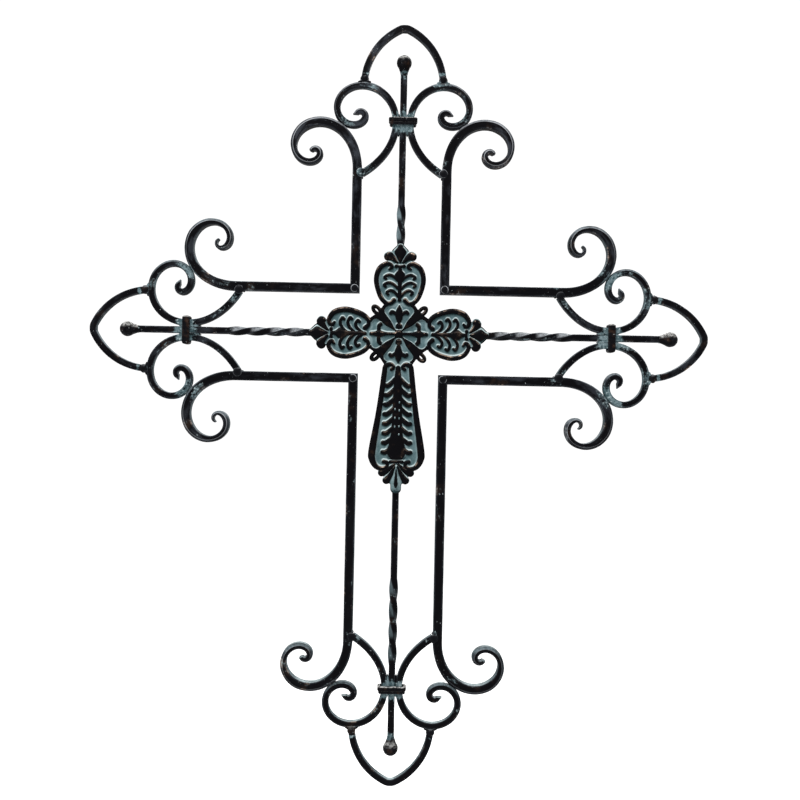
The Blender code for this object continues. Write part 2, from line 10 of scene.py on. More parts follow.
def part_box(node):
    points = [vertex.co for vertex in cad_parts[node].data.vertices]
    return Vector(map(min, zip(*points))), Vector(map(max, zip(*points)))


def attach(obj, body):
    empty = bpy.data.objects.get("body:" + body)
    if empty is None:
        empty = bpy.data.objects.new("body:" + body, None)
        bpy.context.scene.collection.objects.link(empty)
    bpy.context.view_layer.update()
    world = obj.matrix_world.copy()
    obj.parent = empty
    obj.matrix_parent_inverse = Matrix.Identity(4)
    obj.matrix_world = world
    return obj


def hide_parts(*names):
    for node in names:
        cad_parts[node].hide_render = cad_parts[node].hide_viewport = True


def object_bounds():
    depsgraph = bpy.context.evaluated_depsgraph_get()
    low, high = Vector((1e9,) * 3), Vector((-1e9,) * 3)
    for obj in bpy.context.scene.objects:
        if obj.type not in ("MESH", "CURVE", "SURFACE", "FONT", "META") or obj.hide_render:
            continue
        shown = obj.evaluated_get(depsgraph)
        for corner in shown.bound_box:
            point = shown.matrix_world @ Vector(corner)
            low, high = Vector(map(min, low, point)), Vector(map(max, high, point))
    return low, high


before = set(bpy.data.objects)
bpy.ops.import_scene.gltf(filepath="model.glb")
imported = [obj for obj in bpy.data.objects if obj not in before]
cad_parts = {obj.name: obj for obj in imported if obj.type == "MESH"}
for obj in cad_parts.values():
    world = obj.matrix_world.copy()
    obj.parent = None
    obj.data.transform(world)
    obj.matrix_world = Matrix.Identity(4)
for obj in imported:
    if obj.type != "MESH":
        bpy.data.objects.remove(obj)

CAD_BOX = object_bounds()

# Bars, in metres
RAIL_BAR = 0.011
SCROLL_BAR = 0.008
ARCH_BAR = 0.008
ROD_BAR = 0.008
SOFT_EDGE = 0.0008
BEVEL = 0.0022
BEAK = 0.0034
RING_STEP = 0.0018
DENT = 0.00011
FINE_DENT = 0.00005

# Rails and their curls: turned angle and radius
RAIL_OFFSET = 0.053
RAIL_STRAIGHT = 0.1933
LONG_ARM_EXTRA = 0.169
RAIL_CURL = ((0, 0.0785), (45, 0.0452), (90, 0.0352), (180, 0.0233), (270, 0.0159),
             (360, 0.0067), (450, 0.0054), (515, 0.0043))
RAIL_CURL_BAR = 0.0072
RAIL_THINS = (0.098, 0.130)
RAIL_TIPS = ((0.0026, 0.012), (0.0010, 0.024))

# Scrolls
SCROLL_HEADING = 147.3
SCROLL_CURL = ((0, 0.098), (40, 0.059), (85, 0.0437), (140, 0.0364), (230, 0.0222),
               (320, 0.0193), (410, 0.0066), (563, 0.0052))
SCROLL_TIP = 0.0058
SCROLL_TIP_LENGTH = 0.014

# Arches
ARCH_SINK = 0.0008
ARCH_HEADING = 92.3
ARCH_RADIUS = 0.0732
ARCH_POINT_RADIUS = 0.006
ARCH_FLAT = 0.004

# Rods: twist from, to, and left-handed quarter turns
ROD_TWISTS = {"top": (0.1055, 0.1530, 2),
              "left": (0.1100, 0.2020, 4),
              "right": (0.1090, 0.2060, 4),
              "bottom": (0.2890, 0.3910, 4)}

# Camera: where the photograph's middle lies from the crossing, its scale and its roll
PHOTO_MIDDLE = (0.0030, -0.0779)
PHOTO_WIDTH = 0.943
FIELD_OF_VIEW = 45.0
ROLL = 1.17

# How much verdigris the rails, scrolls and arch of each arm keep, and their two foot welds
PATINA_SHARES = {"top": (0.24, 0.40, 0.28, (0.0, 0.6)),
                 "right": (0.27, 0.46, 0.26, (0.1, 0.2)),
                 "bottom": (0.32, 0.32, 0.14, (0.1, 0.0)),
                 "left": (0.28, 0.42, 0.28, (0.2, 0.1))}
# The painted grey sheen on each arm's bars, and how green their dusting, painted highlights and
# side faces are
MOODS = {"top": (0.8, 0.10), "right": (0.5, 0.50), "bottom": (0.05, 0.85), "left": (0.5, 0.60)}
# How bright the painted highlight is on each arm's weld rings and bevel lines
RING_HIGHLIGHTS = {"top": 1.0, "right": 0.75, "bottom": 0.65, "left": 0.85}
# How green the touch of scroll and rail is, and the weld wings of the arch's feet
TOUCHES = {"top": (0.25, 0.45), "right": (0.52, 0.50),
           "bottom": (0.15, 0.05), "left": (0.44, 0.40)}
# The side of the collar that has a flange: outer, inner or none
FLANGES = {"top": 1, "right": 0, "bottom": -1, "left": 0}
BALL_SWELL = 1.10
# The neck under a ball: radius and rise
BALL_NECK = ((0.0, 0.0), (0.0044, 0.0), (0.0046, 0.0010), (0.0049, 0.0026), (0.0056, 0.0044))
COLLAR_WALL = 0.0034
COLLAR_SOFT = 0.0030
# How much verdigris is wiped over the twist of a rod
WASHES = {"top": 1.0, "bottom": 0.4}

# Welds: radii of the domes across, deep and along, radii of the beads, and paths of beads
MITRE_KNOB = (0.0049, 0.0013, 0.0049)
SCROLL_KNOB = (0.0054, 0.0024, 0.0054)
ARCH_KNOB = (0.0052, 0.0060, 0.0050)
SEAM_SHIFT = 0.0046
SEAM_BEAD = 0.0013
TOUCH_BEAD = 0.0020
WING_BEAD = 0.0016
BEAD_STEP = 0.0006
RIPPLE_LENGTH = 0.0017
ARCH_WING = ((0.0030, -0.0032, 0.0010), (0.0050, -0.0028, -0.0001), (0.0078, -0.0024, -0.0012))
COLLAR_SEAM = ((0.0052, 1.0, -0.0170), (0.0045, 1.15, -0.0090), (0.0044, 1.2, 0.0),
               (0.0047, 1.1, 0.0085))

# Ends of bars: share of the section and rise of each ring
DOMED_END = ((0.80, 0.0007), (0.45, 0.0011))
FLAT_END = ((0.55, 0.0),)
# How far apart the noise of two pieces is taken
TRACE_STEP = 0.37
WELDED = 1e-6

ARMS = {"top": (0.0, 0.0, ("right", "left")),
        "right": (90.0, 0.0, ("lower", "upper")),
        "bottom": (180.0, LONG_ARM_EXTRA, ("left", "right")),
        "left": (-90.0, 0.0, ("upper", "lower"))}

CROSSING = sum(corner.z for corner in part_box("rod_left")) / 2


# Small tools

def vector(degrees):
    angle = math.radians(degrees)
    return np.array([math.cos(angle), math.sin(angle)])


def lattice(cells, seed):
    """A fixed number from -1 to 1 for each whole cell."""
    mixed = cells.astype(np.int64) * np.array([73856093, 19349663, 83492791])
    mixed = (mixed[..., 0] ^ mixed[..., 1] ^ mixed[..., 2]) + seed * 7919
    mixed = (mixed ^ (mixed >> 13)) * 1274126177 & 0x7FFFFFFF
    mixed = (mixed ^ (mixed >> 15)) * 668265263 & 0x7FFFFFFF
    return mixed / float(0x3FFFFFFF) - 1.0


def bumps(points, size, seed=0):
    """Smooth value noise over points, with lumps of this size."""
    scaled = np.asarray(points) / size
    base = np.floor(scaled)
    part = scaled - base
    part = part * part * (3.0 - 2.0 * part)
    total = np.zeros(len(scaled))
    for corner in range(8):
        offset = np.array([corner & 1, corner >> 1 & 1, corner >> 2 & 1])
        weight = np.prod(np.where(offset, part, 1.0 - part), axis=1)
        total += weight * lattice(base + offset, seed)
    return total


def smooth_line(knots, step):
    """A Catmull-Rom curve through knots of any number of values, about step apart."""
    knots = np.asarray(knots, float)
    if len(knots) < 3:
        count = max(int(np.linalg.norm(np.ptp(knots[:, :2], axis=0)) / step), 1)
        return np.array([knots[0] + (knots[-1] - knots[0]) * t
                         for t in np.linspace(0.0, 1.0, count + 1)])
    closed = np.allclose(knots[0], knots[-1])
    before = knots[-2] if closed else 2 * knots[0] - knots[1]
    after = knots[1] if closed else 2 * knots[-1] - knots[-2]
    padded = np.vstack([before, knots, after])
    line = [knots[0]]
    for a, b, c, d in zip(padded, padded[1:], padded[2:], padded[3:]):
        count = max(int(math.ceil(np.linalg.norm((c - b)[:2]) / step)), 1)
        for t in np.linspace(0.0, 1.0, count + 1)[1:]:
            line.append(0.5 * (2 * b + (c - a) * t + (2 * a - 5 * b + 4 * c - d) * t * t
                               + (3 * b - a - 3 * c + d) * t ** 3))
    return np.array(line)


def ramp(value, low, high):
    share = np.clip((value - low) / (high - low), 0.0, 1.0)
    return share * share * (3.0 - 2.0 * share)


def distances(points, line):
    """Distance from points to a line, and how far along its numbered points that is."""
    a = line[:-1]
    ab = np.diff(line, axis=0)
    share = ((points[:, None] - a) * ab).sum(2) / np.maximum((ab ** 2).sum(1), 1e-12)
    share = np.clip(share, 0.0, 1.0)
    away = np.linalg.norm(points[:, None] - a - share[..., None] * ab, axis=2)
    nearest = away.argmin(1)
    rows = np.arange(len(points))
    return away[rows, nearest], nearest + share[rows, nearest]


# Curves of the bars in an arm's plane

def curl(start, heading, knots):
    """A finely stepped curve that turns clockwise, with a radius for each turned angle."""
    angles, radii = zip(*knots)
    fine = np.linspace(0.0, angles[-1], int(angles[-1]) * 2 + 1)
    middle = (fine[1:] + fine[:-1]) / 2
    length = np.interp(middle, angles, radii) * np.radians(np.diff(fine))
    direction = np.radians(heading - middle)
    steps = np.stack([length * np.cos(direction), length * np.sin(direction)], 1)
    return np.vstack([[0.0, 0.0], np.cumsum(steps, 0)]) + np.asarray(start), heading - fine


def measured(points):
    return np.concatenate([[0.0], np.cumsum(np.linalg.norm(np.diff(points, axis=0), axis=1))])


def even_steps(points, headings, step=RING_STEP):
    """The same curve with points an even step apart."""
    run = measured(points)
    marks = np.linspace(0.0, run[-1], int(run[-1] / step) + 2)
    line = np.stack([np.interp(marks, run, points[:, i]) for i in range(2)], 1)
    return line, np.interp(marks, run, headings), marks


def rail_line(extra):
    points, headings = curl((RAIL_OFFSET, RAIL_STRAIGHT + extra), 90.0, RAIL_CURL)
    corner = np.array([[RAIL_OFFSET, RAIL_OFFSET]])
    return np.vstack([corner, points]), np.concatenate([[90.0], headings])


def scroll_line(extra):
    """The scroll where the CAD solid has it: its highest and its innermost point."""
    points, headings = curl((0.0, 0.0), SCROLL_HEADING, SCROLL_CURL)
    low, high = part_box("scroll_top_right")
    points[:, 0] += low.x + SCROLL_BAR / 2 - points[headings > 0.0, 0].min()
    points[:, 1] += high.z - CROSSING - SCROLL_BAR / 2 - points[:, 1].max()
    lead = vector(SCROLL_HEADING)
    reach = (RAIL_OFFSET - RAIL_BAR / 2 - points[0, 0]) / lead[0]
    start = points[0] + lead * reach
    return (np.vstack([start, points]) + (0.0, extra),
            np.concatenate([[SCROLL_HEADING], headings]))


def arc(start, radius, headings):
    """An arc that turns to the left, from its start through these headings in degrees."""
    a = np.radians(headings)
    return start + radius * np.stack([np.sin(a) - np.sin(a[0]), np.cos(a[0]) - np.cos(a)], 1)


def arch_line(extra):
    """The arch from its right foot over the point to its left foot."""
    low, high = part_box("arch_top")
    foot = np.array([high.x - ARCH_BAR / 2, low.z - CROSSING - ARCH_SINK])
    reach = ARCH_RADIUS * math.sin(math.radians(ARCH_HEADING)) + ARCH_FLAT / 2 - foot[0]
    last = 180.0 - math.degrees(math.asin(reach / (ARCH_RADIUS - ARCH_POINT_RADIUS)))
    side = np.linspace(ARCH_HEADING, last, 90)
    bend = np.linspace(last, 180.0, 12)
    right = arc(foot, ARCH_RADIUS, side)
    right = np.vstack([right, arc(right[-1], ARCH_POINT_RADIUS, bend)[1:]])
    headings = np.concatenate([side, bend[1:]])
    points = np.vstack([right, right[::-1] * (-1.0, 1.0)]) + (0.0, extra)
    return points, np.concatenate([headings, 360.0 - headings[::-1]])


# Meshes

def arm_matrix(arm, side=1):
    turn = Matrix.Rotation(math.radians(ARMS[arm][0]), 4, "Y")
    flip = Matrix.Scale(side, 4, (1.0, 0.0, 0.0)) if side < 0 else Matrix.Identity(4)
    return Matrix.Translation((0.0, 0.0, CROSSING)) @ turn @ flip


def placed(points, arm, side=1):
    """Points given as p, y, q of an arm, in the frame of the whole."""
    matrix = np.array(arm_matrix(arm, side))
    return np.asarray(points) @ matrix[:3, :3].T + matrix[:3, 3]


def make_piece(name, verts, faces, look, replaced=(), marks=None, crease=40.0):
    """A piece of the object with its material, its marks for the material and its body."""
    mesh = bpy.data.meshes.new(name)
    mesh.from_pydata([tuple(v) for v in verts], [], faces)
    mesh.validate()
    mesh.materials.append(look)
    for mark, values in (marks or {}).items():
        values = np.full(len(verts), values) if np.ndim(values) == 0 else values
        kind = "FLOAT_VECTOR" if np.ndim(values) == 2 else "FLOAT"
        layer = mesh.attributes.new(mark, kind, "POINT")
        layer.data.foreach_set("vector" if kind == "FLOAT_VECTOR" else "value",
                               np.asarray(values, np.float32).ravel())
    joined = bmesh.new()
    joined.from_mesh(mesh)
    bmesh.ops.remove_doubles(joined, verts=joined.verts, dist=WELDED)
    loose = [edge for edge in joined.edges if edge.is_boundary]
    bmesh.ops.holes_fill(joined, edges=loose, sides=0)
    bmesh.ops.recalc_face_normals(joined, faces=joined.faces)
    joined.to_mesh(mesh)
    joined.free()
    mesh.shade_smooth()
    mesh.set_sharp_from_angle(angle=math.radians(crease))
    piece = bpy.data.objects.new(name, mesh)
    bpy.context.collection.objects.link(piece)
    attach(piece, "root")
    if replaced:
        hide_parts(*replaced)
    return piece


def columns(*values):
    """Arrays or single values side by side, with one row for each point."""
    return np.column_stack(np.broadcast_arrays(*values))


def ring_faces(rows, sides, closed=False):
    """Quads between rings of points that follow each other."""
    return [(i * sides + j, i * sides + (j + 1) % sides,
             (i + 1) % rows * sides + (j + 1) % sides, (i + 1) % rows * sides + j)
            for i in range(rows if closed else rows - 1) for j in range(sides)]


def lathe(radii, heights, sides):
    """Rings of points round an axis, given as across, across and along."""
    around = 2.0 * math.pi * np.arange(sides) / sides
    radii, heights = np.asarray(radii)[:, None], np.asarray(heights)[:, None]
    return np.stack([radii * np.cos(around), radii * np.sin(around), heights + 0.0 * around],
                    2).reshape(-1, 3)


def outward(points, centre):
    """Directions of length one, away from a centre or from one centre for each point."""
    away = points - centre
    return away / np.linalg.norm(away, axis=1)[:, None]


def section():
    """Places round a square bar: share of each half, way out, edge, inset, bevel and the corner
    that takes a painted highlight line.
    """
    places = []
    for corner in range(4):
        at = 45.0 + 90.0 * corner
        x, y = (1 if corner in (0, 3) else -1), (1 if corner in (0, 1) else -1)
        inset = 1.0 if corner == 2 else 0.0
        for turn, edge, flat in ((-45.0, 0.7, 1.0), (0.0, 1.0, 0.7071), (45.0, 0.7, 1.0)):
            out = vector(at + turn)
            slant = out * flat * inset
            highlight_line = inset if turn > 0.0 else 0.0
            places.append((x, y, out[0], out[1], edge, inset, slant[0], slant[1], highlight_line))
        out = vector(at + 45.0)
        for share in (0.72, -0.72):
            beside = 1.0 if (corner == 1 and share < 0) or (corner == 2 and share > 0) else 0.0
            x_share, y_share = (x * share, y) if corner in (0, 2) else (x, y * share)
            places.append((x_share, y_share, out[0], out[1], 0.0, beside, out[0] * beside,
                           out[1] * beside, 0.0))
    return np.array(places)


SECTION = section()


def bar_piece(name, line, headings, run, halves, depth, arm, side, patina, seed, turns=None,
              mitred=False, domed=False, bevel=None, beak=0.0, wash=None, green_dust=1.0):
    """A forged bar of square section, a little uneven, swept along a flat curve."""
    count, sides = len(line), len(SECTION)
    bevel = np.zeros(count) if bevel is None else bevel
    wash = np.zeros(count) if wash is None else wash
    soft = np.minimum(SOFT_EDGE, halves * 0.35)[:, None]
    cut_back = np.minimum(bevel, halves * 0.60)[:, None]
    inset = soft + cut_back * SECTION[:, 5]
    u = SECTION[:, 0] * (halves[:, None] - inset) + SECTION[:, 2] * soft + SECTION[:, 6] * cut_back
    v = SECTION[:, 1] * (depth - inset) + SECTION[:, 3] * soft + SECTION[:, 7] * cut_back
    if turns is not None:
        c, s = np.cos(np.radians(-turns))[:, None], np.sin(np.radians(-turns))[:, None]
        u, v = u * c - v * s, u * s + v * c
    across = np.array([vector(h - 90.0) for h in headings])
    p = line[:, :1] + across[:, :1] * u
    q = line[:, 1:] + across[:, 1:] * u
    if mitred:
        q[0] = p[0]
    if beak:
        lead = beak * (1.0 - u[-1] / halves[-1]) / 2
        p[-1] += lead * vector(headings[-1])[0]
        q[-1] += lead * vector(headings[-1])[1]
    flat = np.stack([p, v, q], 2).reshape(-1, 3)
    centre = np.repeat(columns(line[:, 0], 0.0, line[:, 1]), sides, axis=0)
    uneven = DENT * bumps(flat + seed, 0.011, seed) + FINE_DENT * bumps(flat, 0.0035, seed + 5)
    flat = flat + outward(flat, centre) * uneven[:, None]
    verts = [flat]
    faces = ring_faces(count, sides)
    ring_ends = []
    for end, sign in ((0, -1.0), (count - 1, 1.0)):
        rim = flat[end * sides:(end + 1) * sides]
        middle = rim.mean(0)
        ahead = vector(headings[end])
        way = sign * np.array([ahead[0], 0.0, ahead[1]])
        last = range(end * sides, (end + 1) * sides)
        for shrink, rise in DOMED_END if domed and end else FLAT_END:
            verts.append(middle + (rim - middle) * shrink + way * rise)
            start = (count + len(ring_ends)) * sides
            fresh = range(start, start + sides)
            faces += [(last[j - 1], last[j], fresh[j], fresh[j - 1]) for j in range(sides)]
            last = fresh
            ring_ends.append(end)
        faces.append(tuple(last))
    ring = np.repeat([*range(count), *ring_ends], sides)
    ends = np.zeros(len(ring_ends) * sides)
    lit = np.minimum(bevel / BEVEL, 1.0) * RING_HIGHLIGHTS[arm]
    around = np.tile(np.arange(sides) * (8 * depth / sides), count)
    sheen, cool = MOODS[arm]
    marks = {"edge": np.concatenate([np.tile(SECTION[:, 4], count), ends + 0.6]),
             "patina": patina[ring],
             "highlight_line": np.concatenate([(lit[:, None] * SECTION[:, 8]).ravel(), ends]),
             "trace": columns(np.concatenate([around, ends]), run[ring], seed * TRACE_STEP),
             "mood": columns(sheen, cool * green_dust,
                             np.concatenate([np.repeat(wash, sides), ends]))}
    return make_piece("forged_" + name, placed(np.vstack(verts), arm, side), faces, IRON,
                      [name], marks, crease=35.0)


def near_places(line, places, reach):
    """How near each point of a line is to any of the places, from 0 to 1."""
    value = np.zeros(len(line))
    for place, strength in places:
        away = np.linalg.norm(line - np.asarray(place), axis=1)
        value = np.maximum(value, strength * (1.0 - ramp(away, reach * 0.35, reach)))
    return value


# Materials

def wire(tree, kind, inputs=None, **settings):
    made = tree.nodes.new("ShaderNode" + kind)
    for key, value in settings.items():
        setattr(made, key, value)
    for slot, value in (inputs or {}).items():
        if isinstance(value, bpy.types.NodeSocket):
            tree.links.new(value, made.inputs[slot])
        else:
            made.inputs[slot].default_value = value
    return made


def math_node(operation, a, b=0.0, clamp=False):
    return wire(a.id_data, "Math", {0: a, 1: b}, operation=operation, use_clamp=clamp).outputs[0]


def times(first, *others):
    for other in others:
        first = math_node("MULTIPLY", first, other)
    return first


def plus(first, *others):
    for other in others:
        first = math_node("ADD", first, other)
    return first


def smooth_step(value, low, high, bottom=0.0, top=1.0):
    return wire(value.id_data, "MapRange", {"Value": value, "From Min": low, "From Max": high,
                                            "To Min": bottom, "To Max": top},
                interpolation_type="SMOOTHSTEP").outputs["Result"]


def noise_node(where, scale, detail=3.0, roughness=0.55, stretch=(1.0, 1.0, 1.0)):
    tree = where.id_data
    moved = wire(tree, "Mapping", {"Vector": where, "Scale": stretch}).outputs["Vector"]
    return wire(tree, "TexNoise", {"Vector": moved, "Scale": scale, "Detail": detail,
                                   "Roughness": roughness}).outputs["Fac"]


def mix_colour(share, a, b):
    made = wire(share.id_data, "Mix", {0: share}, data_type="RGBA")
    for socket, value in ((made.inputs[6], a), (made.inputs[7], b)):
        if isinstance(value, tuple):
            socket.default_value = (*value, 1.0)
        else:
            share.id_data.links.new(value, socket)
    return made.outputs[2]


def new_material(name, specular):
    made = bpy.data.materials.new(name)
    made.use_nodes = True
    tree = made.node_tree
    shader = tree.nodes["Principled BSDF"]
    shader.inputs["Specular IOR Level"].default_value = specular
    return made, tree, shader


def layered(colour, *layers):
    """A colour with others over it, each one given as its share and its colour."""
    for share, over in layers:
        colour = mix_colour(share, colour, over)
    return colour


def link_bump(shader, height, strength, distance):
    tree = height.id_data
    bump = wire(tree, "Bump", {"Height": height, "Strength": strength, "Distance": distance})
    tree.links.new(bump.outputs["Normal"], shader.inputs["Normal"])


def attribute(tree, name, output="Fac"):
    return wire(tree, "Attribute", attribute_name=name).outputs[output]


# Colours, linear
PATINA = (0.036, 0.063, 0.069)
LIGHT_PATINA = (0.058, 0.093, 0.100)
EDGE_PATINA = (0.100, 0.140, 0.147)
# Pale patina, used as a painted highlight on the casting's ledges that face up
PALE_PATINA_HIGHLIGHT = (0.235, 0.280, 0.280)
WASH_PATINA = (0.028, 0.048, 0.054)
GREY_PATINA = (0.076, 0.104, 0.113)
FLAKE_PATINA = (0.190, 0.230, 0.235)
GREEN_DUST = (0.076, 0.106, 0.115)
# Dusting colours, lighter where faces look up as a painted highlight
GREY_DUST_HIGHLIGHT = (0.165, 0.170, 0.180)
PALE_DUST_HIGHLIGHT = (0.330, 0.328, 0.318)
LEDGE_DUST_HIGHLIGHT = (0.240, 0.290, 0.298)
RUST = (0.0130, 0.0066, 0.0042)
# Painted highlight on bevel corners and weld rings
ARRIS_HIGHLIGHT = (0.190, 0.200, 0.212)
# Deep patina, also used as painted shade on the casting's slopes that face down
DEEP_PATINA_AND_SHADE = (0.014, 0.030, 0.033)
BLACK = (0.0013, 0.0012, 0.0017)
BROWN = (0.0080, 0.0048, 0.0036)
# Painted sheen: a grey that stands in for the iron's gloss
SHEEN = (0.038, 0.043, 0.053)
TAN = (0.300, 0.225, 0.175)
BARE = (0.110, 0.112, 0.118)
CHIP = (0.200, 0.220, 0.225)
SPECULAR = 0.02


def forged_iron(name, bare_from, patina_from, brown_share, chip_from=0.71, rust=BROWN,
                dust_and_highlight_range=(0.20, 0.60, 0.95, 0.55), grey=GREY_DUST_HIGHLIGHT, lumps=48.0):
    """Blackened iron: dusting and painted highlights on faces that look up, worn edges, painted
    grey sheen, painted highlight lines and brushed verdigris.
    """
    made, tree, shader = new_material(name, SPECULAR)
    place = wire(tree, "TexCoord").outputs["Object"]
    facing = wire(tree, "SeparateXYZ", {0: wire(tree, "NewGeometry").outputs["Normal"]}).outputs
    upward = facing[2]
    mood = wire(tree, "SeparateXYZ", {0: attribute(tree, "mood", "Vector")}).outputs
    edge = attribute(tree, "edge")
    cloud = noise_node(place, lumps, 4.0)
    streak = noise_node(attribute(tree, "trace", "Vector"), 150.0, 4.0, 0.6,
                        stretch=(2.6, 0.32, 1.0))
    speck = noise_node(place, 420.0, 3.0, 0.6)
    grain = noise_node(place, 1500.0, 2.0)
    wide = noise_node(place, 14.0, 2.0)
    # Dry brushed verdigris: soft streaks where the cloud and the marks ask for it
    asked = plus(times(streak, 0.52), times(cloud, 0.40), times(speck, 0.22),
                 times(attribute(tree, "patina"), 0.30))
    green = smooth_step(asked, patina_from, patina_from + 0.11)
    tone = mix_colour(smooth_step(streak, 0.42, 0.62), WASH_PATINA, GREY_PATINA)
    tone = layered(tone, (smooth_step(speck, 0.58, 0.70), FLAKE_PATINA),
                   (smooth_step(speck, 0.47, 0.33), DEEP_PATINA_AND_SHADE))
    # Base: black with faint brown clouds and a painted blue grey sheen in streaks
    brown = smooth_step(cloud, 0.62 - brown_share, 0.80 - brown_share)
    base = mix_colour(brown, BLACK, rust)
    sheen = smooth_step(times(streak, wide), 0.24, 0.40, 0.0, 0.5)
    base = mix_colour(times(sheen, mood[0]), base, SHEEN)
    # Wash: verdigris left on the twisted facets that face left
    leftward = smooth_step(facing[0], -0.25, -0.65)
    washed = times(leftward, mood[2], smooth_step(streak, 0.28, 0.50, 0.3, 1.0))
    base = mix_colour(washed, base, GREY_PATINA)
    # Edges: dusting and a painted highlight where they face up, a painted sheen along them, a thin
    # painted highlight line at the bevel's corner, bare metal where they are worn
    low, high, most, least = dust_and_highlight_range
    dust_and_highlight = times(smooth_step(upward, low, high, 0.0, most),
                  smooth_step(streak, 0.30, 0.62, 0.30, 1.0),
                  smooth_step(speck, 0.42, 0.54, least, 1.0))
    dust_highlight_tone = mix_colour(smooth_step(upward, 0.76, 0.97), GREEN_DUST, LEDGE_DUST_HIGHLIGHT)
    base = mix_colour(dust_and_highlight, base, mix_colour(mood[1], grey, dust_highlight_tone))
    flank = smooth_step(math_node("ABSOLUTE", facing[0]), 0.60, 0.95, 0.0, 0.75)
    flank = times(flank, mood[1], smooth_step(streak, 0.34, 0.54))
    base = mix_colour(flank, base, GREEN_DUST)
    base = mix_colour(times(edge, smooth_step(streak, 0.36, 0.62, 0.0, 0.35)), base, SHEEN)
    arris_highlight = times(smooth_step(upward, -0.45, 0.45, 0.45, 1.0),
                 smooth_step(streak, 0.30, 0.50, 0.35, 1.0),
                 smooth_step(attribute(tree, "highlight_line"), 0.40, 0.85))
    worn = times(edge, smooth_step(plus(cloud, times(speck, 0.5)), bare_from, bare_from + 0.22))
    bare = mix_colour(smooth_step(wide, 0.46, 0.62), BARE, TAN)
    chip = smooth_step(speck, chip_from, chip_from + 0.04, 0.0, 0.8)
    colour = layered(base, (worn, bare), (green, tone), (arris_highlight, ARRIS_HIGHLIGHT), (chip, CHIP))
    tree.links.new(colour, shader.inputs["Base Color"])
    metal = times(worn, smooth_step(green, 0.6, 0.2, 0.0, 0.6))
    tree.links.new(metal, shader.inputs["Metallic"])
    rough = math_node("ADD", smooth_step(cloud, 0.3, 0.7, 0.40, 0.56), times(green, 0.25),
                      clamp=True)
    tree.links.new(rough, shader.inputs["Roughness"])
    height = plus(times(speck, 0.7), times(grain, 0.3), times(green, 0.25))
    link_bump(shader, height, 0.35, 0.0006)
    return made


def cast_verdigris(name):
    """The casting: verdigris in the hollows, painted highlights on ledges that face up, painted
    shade on slopes that face down, dark ridges, copper and painted glints on crests.
    """
    made, tree, shader = new_material(name, SPECULAR)
    place = wire(tree, "TexCoord").outputs["Object"]
    upward = wire(tree, "SeparateXYZ", {0: wire(tree, "NewGeometry").outputs["Normal"]}).outputs[2]
    cloud = noise_node(place, 90.0, 4.0)
    speck = noise_node(place, 600.0, 3.0, 0.6)
    grain = noise_node(place, 1800.0, 2.0)
    ragged = plus(attribute(tree, "lift"), times(math_node("SUBTRACT", speck, 0.5), 0.30))
    # Slopes that face up take less of the dark colour: a painted highlight
    ragged = math_node("SUBTRACT", ragged, times(upward, 0.25))
    dark = smooth_step(ragged, 0.10, 0.36)
    lit_ledge = smooth_step(upward, 0.12, 0.50)
    hollow = mix_colour(smooth_step(cloud, 0.35, 0.68), PATINA, LIGHT_PATINA)
    footed = times(attribute(tree, "foot"), smooth_step(cloud, 0.25, 0.60))
    # Hollows: deep patina specks, pale patina at the feet, painted shade on slopes that face down,
    # painted highlight on ledges that face up
    hollow = layered(hollow, (smooth_step(speck, 0.52, 0.75, 0.0, 0.7), DEEP_PATINA_AND_SHADE),
                     (footed, EDGE_PATINA), (smooth_step(upward, -0.04, -0.36), DEEP_PATINA_AND_SHADE),
                     (times(lit_ledge, smooth_step(cloud, 0.30, 0.50)), PALE_PATINA_HIGHLIGHT))
    raised = mix_colour(smooth_step(cloud, 0.54, 0.74), BLACK, BROWN)
    uneven = plus(cloud, times(speck, 0.4))
    # Crests: copper worn bare at random, with painted glints where they face up
    glint = times(smooth_step(upward, 0.10, 0.34), smooth_step(uneven, 0.66, 0.86))
    rubbed_and_glint = math_node("MAXIMUM", glint, smooth_step(uneven, 0.84, 1.00, 0.0, 0.4))
    rubbed_and_glint = times(rubbed_and_glint, attribute(tree, "crest"))
    raised = mix_colour(rubbed_and_glint, raised, TAN)
    colour = mix_colour(dark, hollow, raised)
    tree.links.new(colour, shader.inputs["Base Color"])
    tree.links.new(times(dark, rubbed_and_glint), shader.inputs["Metallic"])
    tree.links.new(smooth_step(dark, 0.0, 1.0, 0.80, 0.42), shader.inputs["Roughness"])
    link_bump(shader, plus(times(speck, 0.6), times(grain, 0.4)), 0.30, 0.0005)
    return made


IRON = forged_iron("forged_iron", 0.84, 0.76, 0.06)
# Balls and collars: brown iron, with pale dusting and a painted highlight on their tops
RUBBED = forged_iron("rubbed_iron", 0.90, 0.76, 0.11, chip_from=0.69, rust=RUST,
                     dust_and_highlight_range=(0.15, 0.78, 0.95, 0.1), grey=PALE_DUST_HIGHLIGHT, lumps=110.0)
WELD = forged_iron("weld_iron", 0.94, 0.70, 0.06, chip_from=0.69, dust_and_highlight_range=(0.45, 0.90, 0.5, 0.3))
CASTING = cast_verdigris("verdigris_casting")


# Welds

